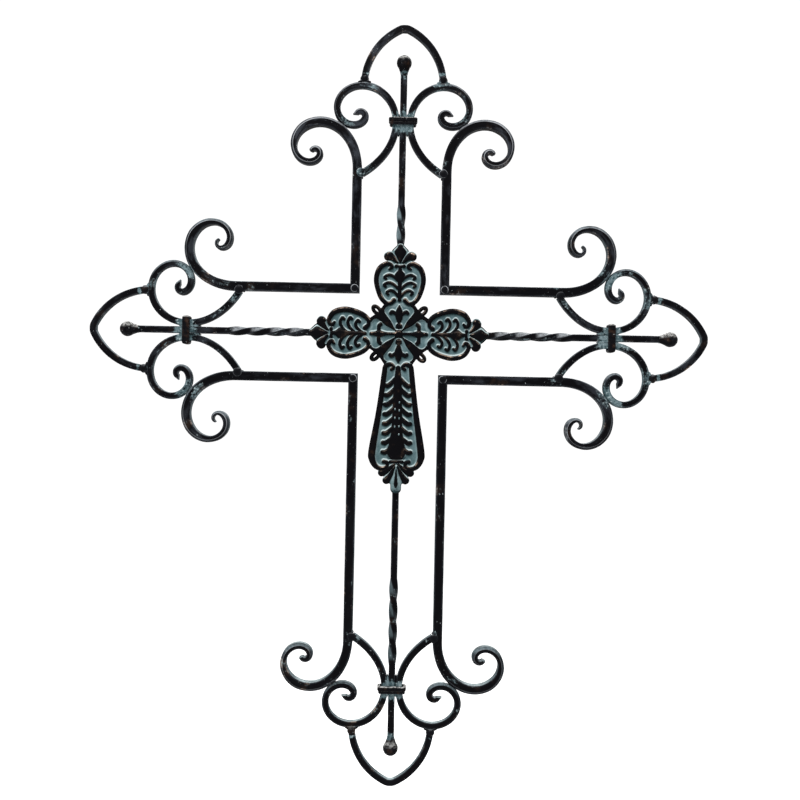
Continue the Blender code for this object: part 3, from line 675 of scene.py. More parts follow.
def bead_piece(name, path, radius, arm, side, seed, patina=0.2, ripple=0.12):
    """A rippled weld bead along points of p, y, q."""
    path = smooth_line(path, BEAD_STEP)
    run = measured(path)
    ahead = np.gradient(path, axis=0)
    ahead /= np.maximum(np.linalg.norm(ahead, axis=1), 1e-9)[:, None]
    reach_way = np.abs(path[-1] - path[0])
    beside = (1.0, 0.0, 0.0) if reach_way.argmax() == 1 else (0.0, 1.0, 0.0)
    across = np.cross(ahead, beside)
    across /= np.linalg.norm(across, axis=1)[:, None]
    rise = np.cross(across, ahead)
    sides = 12
    taper = np.sqrt(np.clip(1.0 - (2.0 * run / run[-1] - 1.0) ** 6, 0.05, 1.0))
    size = radius * taper * (1.0 + ripple * np.sin(run / RIPPLE_LENGTH * 2.0 * math.pi))
    angle = (2.0 * math.pi * np.arange(sides) / sides)[:, None]
    out = ((across[:, None] * np.cos(angle) + rise[:, None] * np.sin(angle))
           * size[:, None, None]).reshape(-1, 3)
    centre = np.repeat(path, sides, axis=0)
    verts = centre + out * (1.0 + 0.22 * bumps(centre + out, 0.0022, seed))[:, None]
    last = (len(path) - 1) * sides
    faces = ring_faces(len(path), sides) + [tuple(range(sides)), tuple(range(last, last + sides))]
    marks = {"edge": 0.3, "patina": patina,
             "trace": columns(0.0, np.repeat(run, sides), seed * TRACE_STEP)}
    return make_piece(name, placed(verts, arm, side), faces, WELD, (), marks,
                      crease=60.0)


def knob_piece(name, middle, radii, arm, side, seed, patina=0.4, ring=0.0):
    """A flattened, uneven dome of weld, with a painted highlight ring round its foot."""
    rows, sides = 19, 24
    tilt = np.linspace(-math.pi / 2, math.pi / 2, rows)
    verts = lathe(np.cos(tilt), np.sin(tilt), sides)[:, [0, 2, 1]]
    flank = 1.0 - np.abs(verts[:, 1]) ** 1.5
    # A painted highlight ring round the foot, broken by noise
    ring_highlight = ring * (1.0 - np.clip(np.abs(np.abs(verts[:, 1]) - 0.42) / 0.24, 0.0, 1.0))
    ring_highlight *= ramp(bumps(verts + seed * 1.7, 0.9, seed), -0.50, -0.05)
    verts = verts * np.array(radii)
    verts *= (1.0 + 0.10 * bumps(verts + seed, 0.003, seed))[:, None]
    verts += np.array(middle)
    marks = {"edge": 0.1 + 0.5 * flank, "highlight_line": ring_highlight, "patina": patina,
             "trace": np.tile((0.0, 0.0, 0.3 * seed), (len(verts), 1))}
    return make_piece(name, placed(verts, arm, side), ring_faces(rows, sides), WELD,
                      (), marks, crease=60.0)


# The bars of each arm

def build_arm(arm, number):
    _, extra, names = ARMS[arm]
    collar_low, collar_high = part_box("collar_top")
    collar_q = (collar_low.z + collar_high.z) / 2 - CROSSING + extra
    rail, rail_headings = rail_line(extra)
    scroll, scroll_headings = scroll_line(extra)
    arch, arch_headings = arch_line(extra)
    contact_away, _ = distances(scroll, rail)
    bending = scroll_headings < 0.0
    contact = scroll[bending][contact_away[bending].argmin()]
    touch, wing = TOUCHES[arm]
    welds = [(scroll[0], 0.25), (contact, touch), ((0.0, collar_q), 0.8), (arch[0], wing * 0.5)]
    rail_share, scroll_share, arch_share, weld_shares = PATINA_SHARES[arm]
    tip_half, tip_length = RAIL_TIPS[number % 2]
    for index, (name, side) in enumerate(zip(names, (1, -1))):
        seed = number * 10 + index + 1
        line, headings, run = even_steps(rail, rail_headings)
        bend = RAIL_STRAIGHT + extra - RAIL_OFFSET
        halves = np.interp(run - bend, RAIL_THINS, [RAIL_BAR / 2, RAIL_CURL_BAR / 2])
        left = run[-1] - run
        halves = np.where(left < tip_length, np.interp(
            left, [0.0, tip_length], [tip_half, RAIL_CURL_BAR / 2]), halves)
        bar_piece(f"rail_{arm}_{name}", line, headings, run, halves, RAIL_BAR / 2, arm, side,
                  rail_share + 0.7 * near_places(line, welds, 0.026), seed, mitred=True,
                  domed=True, bevel=BEVEL * ramp(run, bend, run[-1] * 0.75))
        line, headings, run = even_steps(scroll, scroll_headings)
        halves = np.interp(run[-1] - run, [0.0, SCROLL_TIP_LENGTH],
                           [SCROLL_TIP / 2, SCROLL_BAR / 2])
        bar_piece(f"scroll_{arm}_{name}", line, headings, run, halves, SCROLL_BAR / 2, arm, side,
                  scroll_share + near_places(line, welds, 0.021), seed + 100,
                  bevel=0.6 * BEVEL * ramp(run, run[-1] * 0.40, run[-1] * 0.60), beak=BEAK)
        # Welds: the mitre, the scroll's foot, its touch on the rail and the arch's foot
        if side > 0:
            for face, way in (("front", -1.0), ("back", 1.0)):
                knob_piece(f"weld_mitre_{arm}_{face}",
                           (RAIL_OFFSET, way * (RAIL_BAR / 2 - 0.0002), RAIL_OFFSET),
                           MITRE_KNOB, arm, side, seed + 200, patina=0.0, ring=1.3)
        p, q = scroll[0]
        knob_piece(f"weld_scroll_{arm}_{name}_front",
                   (p + 0.0012, -RAIL_BAR / 2 + 0.0006, q + 0.0004), SCROLL_KNOB, arm, side,
                   seed + 220, patina=weld_shares[index], ring=RING_HIGHLIGHTS[arm])
        for end, shift in (("inner", -SEAM_SHIFT), ("outer", SEAM_SHIFT)):
            bead_piece(f"weld_scroll_{arm}_{name}_{end}",
                       [(p, -0.0040, q + shift), (p, 0.0, q + shift * 1.05),
                        (p, 0.0040, q + shift)], SEAM_BEAD, arm, side, seed + 240)
        bead_piece(f"weld_touch_{arm}_{name}",
                   [(contact[0], -0.0036, contact[1]), (contact[0], 0.0036, contact[1])],
                   TOUCH_BEAD, arm, side, seed + 260)
        p, q = arch[0]
        knob_piece(f"weld_arch_{arm}_{name}_knob", (p, 0.0, q + 0.0040), ARCH_KNOB, arm, side,
                   seed + 270, patina=0.0)
        for face, shift in (("inner", -1.0), ("outer", 1.0)):
            bead_piece(f"weld_arch_{arm}_{name}_{face}",
                       [(p + shift * a, y, q + b) for a, y, b in ARCH_WING], WING_BEAD, arm, side,
                       seed + 280, patina=wing, ripple=0.05)
    line, headings, run = even_steps(arch, arch_headings)
    feet = [(arch[0] + (0.0, 0.0104), 0.8), (arch[-1] + (0.0, 0.0104), 0.8)]
    bar_piece(f"arch_{arm}", line, headings, run, np.full(len(run), ARCH_BAR / 2), ARCH_BAR / 2,
              arm, 1, arch_share + near_places(line, feet, 0.0034), number * 10 + 7)
    for index, side in enumerate((1, -1)):
        for face, depth in (("front", -0.0027), ("back", 0.0027)):
            bead_piece(f"weld_collar_{arm}_{names[index]}_{face}",
                       [(p, depth * share, collar_q + q) for p, share, q in COLLAR_SEAM],
                       WING_BEAD, arm, side, number * 10 + index + 300, patina=0.7, ripple=0.08)
    build_rod(arm, number, collar_q)
    build_ball(arm, number)
    build_collar(arm, number, collar_q)


def build_rod(arm, number, collar_q):
    ball_low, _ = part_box("ball_top")
    ball_foot = ball_low.z - CROSSING + ARMS[arm][1]
    upright = arm in ("top", "bottom")
    inner = 0.0001 + (0.0 if upright else ROD_BAR / 2)
    start, end, quarters = ROD_TWISTS[arm]
    run = np.concatenate([np.arange(inner, start, RING_STEP),
                          np.linspace(start, end, quarters * 22 + 1),
                          np.arange(end + RING_STEP, ball_foot, RING_STEP), [ball_foot + 0.0006]])
    turns = quarters * 90.0 * np.clip((run - start) / (end - start), 0.0, 1.0)
    line = columns(0.0, run)
    twisted = ramp(run, start - 0.004, start + 0.006) * (1.0 - ramp(run, end - 0.006, end + 0.004))
    patina = 0.30 + 0.15 * twisted + np.maximum(
        near_places(line, [((0.0, collar_q), 0.8)], 0.020),
        near_places(line, [((0.0, ball_foot), 0.6 if upright else 0.2)], 0.011))
    bar_piece(f"rod_{arm}", line, np.full(len(run), 90.0), run, np.full(len(run), ROD_BAR / 2),
              ROD_BAR / 2, arm, 1, patina, number * 10 + 8, turns=turns,
              wash=twisted * WASHES.get(arm, 0.0), green_dust=0.35)


def build_ball(arm, number):
    """A hammered ball on a conical neck."""
    low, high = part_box("ball_top")
    extra = ARMS[arm][1]
    radius = (high.x - low.x) / 2 * BALL_SWELL
    foot = low.z - CROSSING + extra
    centre = high.z - CROSSING + extra - radius / BALL_SWELL
    round_part = np.linspace(-0.72, math.pi / 2, 22)
    radii = np.concatenate([[r for r, _ in BALL_NECK], radius * np.cos(round_part)])
    heights = np.concatenate([[foot + rise for _, rise in BALL_NECK],
                              centre + radius * np.sin(round_part)])
    sides = 36
    verts = lathe(radii, heights, sides)
    lumps = (-np.abs(bumps(verts, 0.0042, number + 3)) * 0.0003
             + bumps(verts, 0.0017, number) * 0.00012)
    verts = verts + outward(verts, (0.0, 0.0, centre)) * lumps[:, None]
    height = verts[:, 2] - foot
    neck = 0.75 if arm in ("top", "bottom") else 0.2
    marks = {"edge": np.clip(0.35 + lumps / 0.0004, 0.0, 1.0),
             "patina": neck * (1.0 - ramp(height, 0.002, 0.009)) + 0.15,
             "trace": columns(0.0, height, number * 0.7)}
    make_piece(f"forged_ball_{arm}", placed(verts, arm), ring_faces(len(radii), sides), RUBBED,
               [f"ball_{arm}"], marks, crease=75.0)


def build_collar(arm, number, collar_q):
    """A strap with a flange, wrapped round the rod and both scrolls."""
    low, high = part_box("collar_top")
    half_q = (high.z - low.z) / 2
    sides = []
    for corner in range(4):
        sx, sy = (1 if corner in (0, 3) else -1), (1 if corner in (0, 1) else -1)
        sides += [(sx, sy, *vector(90.0 * corner + turn)) for turn in np.linspace(0.0, 90.0, 9)]
        flat_way = vector(90.0 * (corner + 1))
        for share in np.linspace(1.0, -1.0, 9 if corner in (0, 2) else 5)[1:-1]:
            at = (sx * share, sy) if corner in (0, 2) else (sx, sy * share)
            sides.append((*at, *flat_way))
    sides = np.array(sides)
    heights = np.linspace(-1.0, 1.0, 33)
    flange = FLANGES[arm]
    if flange:
        along = heights * flange
        upper = np.clip(1.0 - np.abs((along - 0.36) / 0.58) ** 5, 0.0, 1.0) ** 0.4
        lower = np.clip(1.0 - np.abs((along + 0.52) / 0.46) ** 3, 0.0, 1.0) ** 0.5
        swell = np.maximum(0.0020 * upper, 0.0020 * lower - 0.0011) - 0.0020
    else:
        swell = 0.0022 * (np.clip(1.0 - np.abs(heights / 0.98) ** 2.6, 0.0, 1.0) ** 0.5 - 1.0)
    profile = [(out, height * half_q, 0.5 if abs(height) > 0.80 else 0.1)
               for height, out in zip(heights, swell)]
    profile += [(0.0003 - COLLAR_WALL, way * (half_q - 0.0004), 0.4) for way in (1.0, -1.0)]
    half_x, half_y = high.x - COLLAR_SOFT, high.y - COLLAR_SOFT
    flat = np.vstack([columns(sides[:, 0] * half_x + sides[:, 2] * (COLLAR_SOFT + out),
                              sides[:, 1] * half_y + sides[:, 3] * (COLLAR_SOFT + out),
                              collar_q + rise) for out, rise, _ in profile])
    away = outward(flat, (0.0, 0.0, collar_q))
    flat = flat + away * (bumps(flat, 0.005, number + 40) * 0.00018)[:, None]
    marks = {"edge": np.repeat([tone for _, _, tone in profile], len(sides)), "patina": 0.12,
             "trace": columns(flat[:, 0], flat[:, 2], number * 0.9)}
    make_piece(f"forged_collar_{arm}", placed(flat, arm),
               ring_faces(len(profile), len(sides), closed=True), RUBBED,
               [f"collar_{arm}"], marks, crease=60.0)


for number, arm_name in enumerate(ARMS):
    build_arm(arm_name, number)


# Medallion, in millimetres in an arm's plane: s across, r outward, half width
MM = 0.001
PLATE = 4.0
GRID = 0.5
FILLET = 0.35
SKIRT = 1.5
FOOT_RISE = 0.7
GROOVE = 0.75
LOBE_ZONE = 2.5
GROOVE_DEPTH = 0.7
EDGE_FILLET = 0.8
# How far the outline's plates reach, how far the grid stops inside it, and the dark margin
PLATE_REACH = 4.0
GRID_INSET = 0.12
MARGIN = (0.7, 1.5)
FAR_AWAY = 20.0
CAST_DENT = 0.05
CAST_DENT_SIZE = 2.2
RIM_RELIEF = 3.2
LEAF_RELIEF = 2.3
STEM_RELIEF = 3.0
LOBE_RELIEF = 3.0
WEDGE_RELIEF = 2.6
BEAD_RELIEF = 2.6
# The left arm is darker: darker hollows and duller crests
LEFT_DARKENING = 0.09
LEFT_DULL = 0.5

SHORT_RIM = ((12.4, 76.0, 1.6), (9.6, 78.4, 2.3), (11.3, 81.3, 2.6), (16.6, 82.0, 2.8),
             (24.6, 75.6, 3.1), (27.6, 61.9, 3.1), (23.0, 45.0, 3.0), (16.5, 36.6, 2.8),
             (10.5, 36.0, 2.6), (6.6, 39.6, 3.0))
SHORT_STEM = ((0.0, 40.0, 2.4), (0.0, 52.0, 2.6), (0.0, 61.0, 3.2), (0.0, 69.0, 7.0),
              (0.0, 74.5, 3.0), (0.0, 79.0, 2.0))
SHORT_LEAVES = (3, 43.4, 9.1, 7.6, 2.4)
SHORT_LEAF_REACH = (15.4, 18.6, 18.2)
TIP_LOBE = ((0.0, 84.6, 1.4), (0.0, 91.0, 5.4), (0.0, 96.6, 8.0), (0.0, 102.4, 3.4))
SIDE_LOBE = ((3.6, 84.0, 1.5), (8.2, 88.8, 3.6), (12.2, 91.4, 5.4), (14.2, 91.0, 5.2))
SHORT_BEAD = ((-4.6, 79.6, 2.3), (0.0, 79.2, 1.5), (4.6, 79.6, 2.3))
TIP_PLATE = ((15.0, 73.0), (17.0, 80.0), (12.5, 93.0), (9.0, 99.0), (2.6, 105.4))

LONG_RIM = ((7.6, 41.6, 2.2), (5.4, 38.6, 2.4), (9.4, 35.6, 2.6), (14.6, 38.4, 3.0),
            (16.0, 47.0, 3.3), (18.3, 67.0, 3.4), (22.1, 96.0, 3.6), (28.4, 137.0, 4.5),
            (28.2, 148.0, 4.2), (23.6, 156.2, 3.4), (16.7, 158.6, 2.9), (11.2, 156.2, 2.5),
            (11.0, 151.4, 2.6), (14.6, 150.2, 2.6))
LONG_STEM = ((0.0, 40.0, 3.2), (0.0, 50.0, 4.4), (0.0, 64.0, 5.6), (0.0, 90.0, 6.4),
             (0.0, 112.0, 7.4), (0.0, 126.0, 9.6), (0.0, 134.0, 12.0), (0.0, 138.0, 12.6))
LONG_LEAVES = (8, 53.0, 11.2, 3.0, 9.0)
LONG_LEAF_REACH = (15.2, 0.32)
LONG_BAR = ((-7.0, 150.4, 2.2), (7.0, 150.4, 2.2))
LONG_BEADS = ((-5.6, 145.6), (0.0, 145.0), (5.6, 145.6))
PALM_OUTER = ((2.4, 153.6, 1.6), (9.6, 159.6, 3.4), (16.8, 163.6, 4.6))
PALM_INNER = ((1.8, 156.0, 1.4), (6.4, 165.6, 3.2), (11.2, 172.4, 4.7))
PALM_MIDDLE = ((0.0, 156.0, 1.2), (0.0, 166.0, 3.6), (0.0, 174.0, 6.2), (0.0, 182.0, 6.4))
PALM_CORE = ((0.0, 160.0, 0.8), (0.0, 170.0, 1.8), (0.0, 177.0, 2.6), (0.0, 180.0, 1.4))
PALM_PLATE = ((17.0, 148.0), (16.0, 166.0), (9.5, 175.0), (0.0, 182.0))

PANEL = ((0.0, 4.8), (3.9, 5.5), (9.2, 15.0), (14.2, 21.4), (17.0, 25.6), (16.6, 29.2),
         (13.8, 31.8), (9.0, 31.5), (5.0, 32.6), (0.0, 36.4))
WEDGE = ((0.0, 0.0), (14.5, 35.0), (19.5, 33.5), (25.0, 25.0), (33.5, 19.5), (35.0, 14.5))
CENTRE_WAIST = (17.2, 35.5)
CENTRE_NECK = (8.0, 43.0)
CENTRE_CORNER = 24.6
LILY = ((0.0, 11.6, 1.5), (0.0, 16.0, 3.4), (0.0, 21.6, 5.3), (0.0, 26.0, 4.7),
        (0.0, 30.0, 3.1), (0.0, 33.0, 1.1))
LILY_THIN = ((0.0, 4.0, 1.9), (0.0, 14.0, 2.1), (0.0, 19.0, 3.4), (0.0, 23.6, 5.2),
             (0.0, 28.0, 3.0), (0.0, 32.4, 2.3))
PETAL = ((1.6, 21.6, 2.6), (5.6, 24.6, 2.5), (8.4, 25.6, 2.7), (9.8, 24.4, 2.4))
PETAL_THIN = ((0.5, 23.0, 3.0), (5.4, 23.6, 2.6), (9.0, 23.2, 2.8), (11.2, 21.6, 2.6))
SMALL_BALL = (0.0, 9.2, 4.2)
BOSS = (0.0, 0.0, 5.6)
BALL_RELIEF = 3.9
LOOP_CENTRE = (27.4, 26.6)
LOOP_SIZE = (5.4, 3.0)
LOOP_HALF = 2.2
DOT_ROWS = ((-2.4, 81.0, 118.5, 5), (2.6, 89.0, 109.5, 3))


def ridge(knots, relief, tone=1.0, crest=0.22, power=2.4):
    """A raised stroke: its line, half widths, height, how dark it is, and how much worn copper and
    painted glint its crest takes.
    """
    line = smooth_line(knots, 0.9) if len(knots) > 1 else np.array([knots[0]] * 2, float)
    if len(knots) == 1:
        line[1, 0] += 0.001
    return {"line": line[:, :2], "half": np.maximum(line[:, 2], 0.3), "relief": relief,
            "tone": tone, "crest": crest, "power": power}


def mirrored(item):
    return {**item, "line": item["line"] * (-1.0, 1.0)}


def turned(line, degrees):
    a = math.radians(degrees)
    s, r = np.asarray(line, float).T
    return np.stack([s * math.cos(a) + r * math.sin(a), r * math.cos(a) - s * math.sin(a)], 1)


def swung(item, degrees):
    return {**item, "line": turned(item["line"], degrees)}


def outline(half):
    """A closed outline from its half where s is positive, from its inner to its outer end."""
    half = np.asarray(half, float)
    return np.vstack([half, half[::-1] * (-1.0, 1.0)])


def short_arm():
    pairs = [ridge(SHORT_RIM, RIM_RELIEF, crest=1.0), ridge(SIDE_LOBE, LOBE_RELIEF, crest=0.8)]
    count, first, pitch, rise, drop = SHORT_LEAVES
    for i in range(count):
        root, reach = first + i * pitch, SHORT_LEAF_REACH[i]
        pairs.append(ridge(((1.4, root, 1.8), (reach * 0.34, root + rise * 0.66, 2.0),
                            (reach * 0.68, root + rise, 2.1),
                            (reach - 0.4, root + rise - drop, 2.0),
                            (reach - 1.8, root + rise - drop - 2.2, 1.9)), LEAF_RELIEF,
                           power=2.0))
    made = pairs + [mirrored(item) for item in pairs]
    made += [ridge(SHORT_STEM, STEM_RELIEF), ridge(TIP_LOBE, LOBE_RELIEF, crest=0.4),
             ridge(SHORT_BEAD, BEAD_RELIEF)]
    return made, [outline(pairs[0]["line"]), outline(TIP_PLATE)]


def long_arm():
    pairs = [ridge(LONG_RIM, RIM_RELIEF, crest=0.8), ridge(PALM_OUTER, LOBE_RELIEF),
             ridge(PALM_INNER, LOBE_RELIEF)]
    count, first, pitch, root_s, drop = LONG_LEAVES
    for i in range(count):
        root, reach = first + i * pitch, LONG_LEAF_REACH[0] + i * LONG_LEAF_REACH[1]
        pairs.append(ridge(((root_s, root, 3.0), (reach * 0.46, root + drop * 0.50, 3.2),
                            (reach * 0.76, root + drop * 0.88, 3.2),
                            (reach - 1.2, root + drop * 0.86, 2.9)), LEAF_RELIEF, power=2.2))
    made = pairs + [mirrored(item) for item in pairs]
    made += [ridge(LONG_STEM, STEM_RELIEF), ridge(LONG_BAR, BEAD_RELIEF),
             ridge(PALM_MIDDLE, LOBE_RELIEF, tone=0.2),
             ridge(PALM_CORE, LOBE_RELIEF + 0.5)]
    made += [ridge([(*bead, 2.5)], BEAD_RELIEF, tone=0.45) for bead in LONG_BEADS]
    for s, start, end, count in DOT_ROWS:
        made += [ridge(((s, r - 0.7, 1.3), (s, r + 0.7, 1.3)), STEM_RELIEF + 0.6, tone=-1.0,
                       crest=0.0) for r in np.linspace(start, end, count)]
    return made, [outline(pairs[0]["line"]), outline(PALM_PLATE)]


def centre(thin):
    """A quarter of the crossing: its lily, its ball or stem, and a leaf loop."""
    lily, petal = (LILY_THIN, PETAL_THIN) if thin else (LILY, PETAL)
    made = [ridge(lily, STEM_RELIEF, crest=0.5), ridge(petal, LEAF_RELIEF),
            mirrored(ridge(petal, LEAF_RELIEF))]
    if not thin:
        made.append(ridge([SMALL_BALL], BALL_RELIEF, crest=1.0))
    diagonal = math.atan2(LOOP_CENTRE[1], LOOP_CENTRE[0])
    ring = []
    for k in range(17):
        a = 2 * math.pi * k / 16
        u, v = LOOP_SIZE[0] * math.cos(a), LOOP_SIZE[1] * math.sin(a)
        ring.append((LOOP_CENTRE[0] + u * math.cos(diagonal) - v * math.sin(diagonal),
                     LOOP_CENTRE[1] + u * math.sin(diagonal) + v * math.cos(diagonal),
                     LOOP_HALF))
    made.append(ridge(ring, WEDGE_RELIEF, crest=0.3))
    return made


def inside(points, starts, ends):
    """Whether each point lies inside the outline that these edges make."""
    x, y = points.T
    hit = np.zeros(len(points), bool)
    for (ax, ay), (bx, by) in zip(starts, ends):
        spans = (ay > y) != (by > y)
        if spans.any():
            hit ^= spans & (x < ax + (y - ay) * (bx - ax) / (by - ay if by != ay else 1.0))
    return hit


def signed(points, loop):
    """Distance to a closed outline, negative inside."""
    away, _ = distances(points, np.vstack([loop, loop[:1]]))
    return np.where(inside(points, loop, np.roll(loop, -1, axis=0)), -away, away)


def medallion_parts():
    strokes, plates = [], []
    for k in range(4):
        strokes += [swung(item, 90.0 * k) for item in centre(thin=k % 2 == 1)]
    strokes.append(ridge([BOSS], BALL_RELIEF, crest=1.0))
    for degrees, (made, flat) in ((0.0, short_arm()), (90.0, short_arm()),
                                  (-90.0, short_arm()), (180.0, long_arm())):
        strokes += [swung(item, degrees) for item in made]
        plates += [turned(plate, degrees) for plate in flat]
    quarter = [CENTRE_NECK, CENTRE_WAIST, (CENTRE_CORNER, CENTRE_CORNER),
               CENTRE_WAIST[::-1], CENTRE_NECK[::-1]]
    quarter += [(r, -s) for s, r in quarter]
    quarter += [(-s, -r) for s, r in quarter]
    plates.append(np.array(quarter))
    panel = np.array(PANEL)
    panel = smooth_line(np.column_stack([panel, np.zeros(len(panel))]), 1.5)[:, :2]
    panels = [turned(outline(panel), 90.0 * k) for k in range(4)]
    wedges = [turned(np.array(WEDGE), 90.0 * k) for k in range(4)]
    return strokes, plates, panels, wedges


STROKES, PLATES, PANELS, WEDGES = medallion_parts()


def close_to(points, line, reach):
    low, high = line.min(0) - reach, line.max(0) + reach
    return np.nonzero(np.all((points >= low) & (points <= high), axis=1))[0]


def soft_min(a, b, k):
    share = np.clip(0.5 + 0.5 * (b - a) / k, 0.0, 1.0)
    return b + (a - b) * share - k * share * (1.0 - share)


def stroke_distances(points, item):
    """Distance to a stroke's line, and the stroke's half width at the nearest place."""
    away, at = distances(points, item["line"])
    return away, np.interp(at, np.arange(len(item["half"])), item["half"])


def edge_field(points):
    """Signed distance to the medallion's outline, negative inside."""
    field = np.full(len(points), FAR_AWAY)
    for item in STROKES:
        index = close_to(points, item["line"], item["half"].max() + PLATE_REACH)
        if len(index):
            away, width = stroke_distances(points[index], item)
            field[index] = soft_min(field[index], away - width, EDGE_FILLET)
    for plate in PLATES:
        index = close_to(points, plate, PLATE_REACH)
        if len(index):
            field[index] = soft_min(field[index], signed(points[index], plate), EDGE_FILLET)
    return field


def at_least(field, index, value):
    field[index] = np.maximum(field[index], value)


def relief_field(points):
    """Height over the plate, how dark and how rubbed the surface is at each point."""
    height, lift, crest, foot, lobe_zone = np.zeros((5, len(points)))
    for wedge in WEDGES:
        index = close_to(points, wedge, 1.0)
        spot = points[index]
        outside = np.min([signed(spot, panel) for panel in PANELS], axis=0)
        share = np.minimum(ramp(outside, 0.0, 1.1), ramp(-signed(spot, wedge), -0.4, 0.9))
        at_least(height, index, WEDGE_RELIEF * share)
        at_least(lift, index, share)
        at_least(foot, index, 1.0 - ramp(-outside, 0.2, SKIRT))
    lobes = []
    for item in STROKES:
        index = close_to(points, item["line"], item["half"].max() + LOBE_ZONE)
        if not len(index):
            continue
        away, width = stroke_distances(points[index], item)
        share = np.clip(away / width, 0.0, 1.0)
        shape = 1.0 - share ** item["power"]
        slope = np.clip(1.0 - (away - width) / SKIRT, 0.0, 1.0)
        at_least(foot, index, slope)
        raised = (item["relief"] - FOOT_RISE) * shape + FOOT_RISE * slope ** 2
        old = height[index]
        height[index] = np.where(away < width + SKIRT, -soft_min(-old, -raised, FILLET), old)
        if item["tone"] < 0.0:
            lift[index] = np.where(share < 1.0, lift[index] * (1.0 - shape), lift[index])
        else:
            at_least(lift, index, shape * item["tone"])
        line = (ramp(share, 0.30, 0.50) * (1.0 - ramp(share, 0.62, 0.86)) if item["crest"] >= 0.8
                else 1.0 - ramp(share, 0.25, 0.75))
        at_least(crest, index, item["crest"] * line)
        if item["relief"] == LOBE_RELIEF:
            whole = np.zeros(len(points))
            whole[index] = shape
            lobes.append(whole)
            at_least(lobe_zone, index, 1.0 - ramp(away - width, 0.0, LOBE_ZONE))
    first, second = np.sort(lobes, axis=0)[-1:-3:-1]
    groove = (1.0 - ramp(first - second, 0.10, GROOVE)) * (second > 0.0) * ramp(second, 0.0, 0.2)
    lift *= 1.0 - groove
    height -= GROOVE_DEPTH * groove
    return height, lift, crest, foot, lobe_zone


def build_medallion():
    """A relief on a fine grid fitted to the outline, with a wall and a flat back."""
    low = np.min([plate.min(0) for plate in PLATES], axis=0) - 12.0
    high = np.max([plate.max(0) for plate in PLATES], axis=0) + 12.0
    xs = np.arange(low[0], high[0], GRID)
    zs = np.arange(low[1], high[1], GRID)
    gx, gz = np.meshgrid(xs, zs, indexing="ij")
    grid = np.stack([gx.ravel(), gz.ravel()], 1)
    field = edge_field(grid).reshape(gx.shape)
    slope_x, slope_z = np.gradient(field, GRID)
    within = field < -GRID_INSET
    cells = within[:-1, :-1] | within[1:, :-1] | within[:-1, 1:] | within[1:, 1:]
    i, k = np.nonzero(cells)
    corners = np.stack([i * len(zs) + k, (i + 1) * len(zs) + k,
                        (i + 1) * len(zs) + k + 1, i * len(zs) + k + 1], 1)
    used, faces = np.unique(corners, return_inverse=True)
    faces = faces.reshape(corners.shape)
    points = grid[used]
    value = field.ravel()[used]
    slope = np.stack([slope_x.ravel()[used], slope_z.ravel()[used]], 1)
    outer = ~within.ravel()[used]
    step = value[:, None] * slope / np.maximum((slope ** 2).sum(1), 0.15)[:, None]
    points[outer] -= np.clip(step, -GRID, GRID)[outer]
    height, lift, crest, foot, lobe_zone = relief_field(points)
    margin = 1.0 - ramp(-np.where(outer, 0.0, value), *MARGIN)
    lift = np.maximum(lift, margin * (1.0 - 0.75 * lobe_zone))
    half_edges = {(f[j], f[j - 3]) for f in faces.tolist() for j in range(4)}
    border = [edge for edge in sorted(half_edges) if edge[::-1] not in half_edges]
    leftward = ramp(-points[:, 0], 34.0, 44.0)
    lift += LEFT_DARKENING * leftward
    crest *= 1.0 - LEFT_DULL * leftward
    back = -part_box("medallion")[1].y / MM
    count = len(points)
    uneven = CAST_DENT * bumps(np.column_stack([points, height]), CAST_DENT_SIZE, 3)
    verts = np.column_stack([points[:, 0], -(back + PLATE + height + uneven), points[:, 1]])
    rim = sorted({v for edge in border for v in edge})
    place = {v: j for j, v in enumerate(rim)}
    base = np.column_stack([points[rim, 0], np.full(len(rim), -back), points[rim, 1]])
    made = [tuple(f) for f in faces.tolist()]
    for a, b in border:
        made.append((b, a, count + place[a], count + place[b]))
    flat = delaunay_2d_cdt([tuple(v) for v in points[rim]],
                           [(place[a], place[b]) for a, b in border], [], 1, 1e-5)
    spots = np.array([tuple(v) for v in flat[0]])
    fresh = [v for v in range(len(spots)) if not flat[3][v]]
    known = {v: count + flat[3][v][0] for v in range(len(spots)) if flat[3][v]}
    known.update({v: count + len(rim) + j for j, v in enumerate(fresh)})
    crossed = np.column_stack([spots[fresh, 0], np.full(len(fresh), -back), spots[fresh, 1]])
    triangles = np.array([tuple(face) for face in flat[2]])
    starts, ends = points[np.array(border)].transpose(1, 0, 2)
    keep = inside(spots[triangles].mean(1), starts, ends)
    made += [tuple(known[v] for v in reversed(t)) for t in triangles[keep].tolist()]
    verts = np.vstack([verts, base, crossed]) * MM + (0.0, 0.0, CROSSING)
    more = np.zeros(len(rim) + len(fresh))
    marks = {"lift": np.concatenate([lift, more + 0.9]), "crest": np.concatenate([crest, more]),
             "foot": np.concatenate([foot, more])}
    make_piece("cast_medallion", verts, made, CASTING, ["medallion"],
               marks, crease=50.0)


build_medallion()


# Stage, light and camera

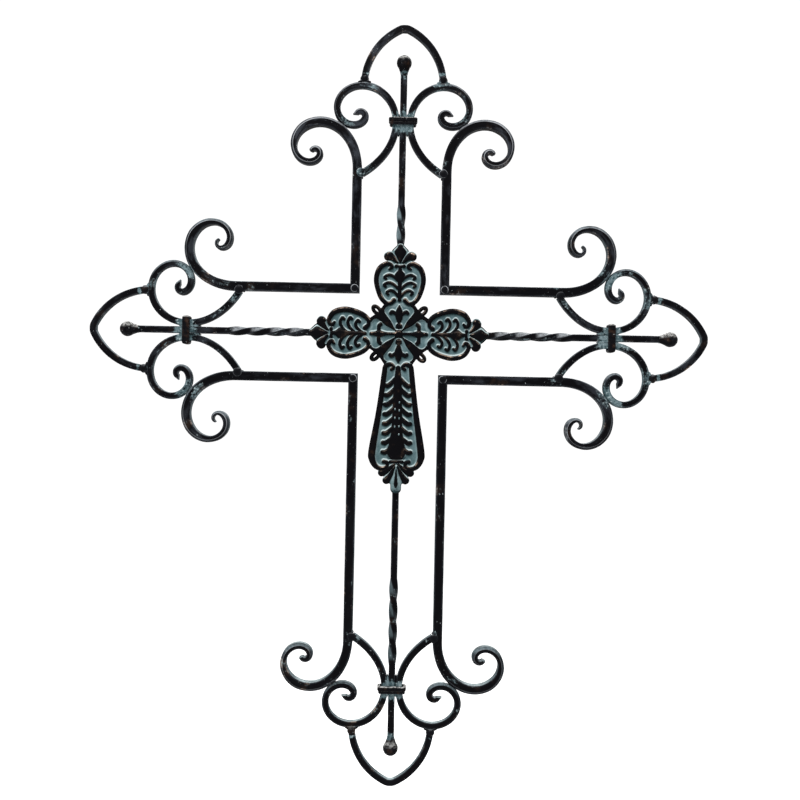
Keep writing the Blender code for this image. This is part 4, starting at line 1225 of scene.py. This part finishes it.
def stage_floor():
    size = 9.0
    level = CAD_BOX[0].z - 0.55
    mesh = bpy.data.meshes.new("floor")
    mesh.from_pydata([(-size, -size, level), (size, -size, level), (size, size, level),
                      (-size, size, level)], [], [(0, 1, 2, 3)])
    made, tree, shader = new_material("pale_floor", 0.1)
    place = wire(tree, "TexCoord").outputs["Object"]
    tone = mix_colour(noise_node(place, 1.5), (0.93, 0.93, 0.93), (0.95, 0.95, 0.95))
    tree.links.new(tone, shader.inputs["Base Color"])
    shader.inputs["Roughness"].default_value = 0.9
    mesh.materials.append(made)
    floor = bpy.data.objects.new("floor", mesh)
    bpy.context.collection.objects.link(floor)


def area_light(name, place, target, size, power):
    lamp = bpy.data.lights.new(name, "AREA")
    lamp.shape = "DISK"
    lamp.size = size
    lamp.energy = power
    made = bpy.data.objects.new(name, lamp)
    made.location = place
    way = Matrix.Translation(place).inverted() @ Matrix.Translation(target)
    made.rotation_mode = "QUATERNION"
    made.rotation_quaternion = way.to_translation().to_track_quat("-Z", "Y")
    bpy.context.collection.objects.link(made)


def add_camera():
    data = bpy.data.cameras.new("camera")
    data.sensor_fit = "HORIZONTAL"
    data.angle = math.radians(FIELD_OF_VIEW)
    away = PHOTO_WIDTH / 2 / math.tan(math.radians(FIELD_OF_VIEW / 2))
    place = (PHOTO_MIDDLE[0], CAD_BOX[0].y / 2 - away, CROSSING + PHOTO_MIDDLE[1])
    camera = bpy.data.objects.new("camera", data)
    bpy.context.collection.objects.link(camera)
    camera.matrix_world = (Matrix.Translation(place) @ Matrix.Rotation(math.radians(90.0), 4, "X")
                           @ Matrix.Rotation(math.radians(ROLL), 4, "Z"))
    bpy.context.scene.camera = camera


def add_world():
    world = bpy.data.worlds.new("studio")
    world.use_nodes = True
    background = world.node_tree.nodes["Background"]
    background.inputs["Color"].default_value = (1.0, 1.0, 1.0, 1.0)
    background.inputs["Strength"].default_value = 1.08
    bpy.context.scene.world = world
    bpy.context.scene.view_settings.view_transform = "Standard"


stage_floor()
middle_of_all = (0.0, 0.0, CROSSING)
area_light("key", (-0.7, -1.5, 1.9), middle_of_all, 1.2, 160.0)
area_light("back_fill", (0.9, 1.8, 1.0), middle_of_all, 1.6, 45.0)
add_camera()
add_world()
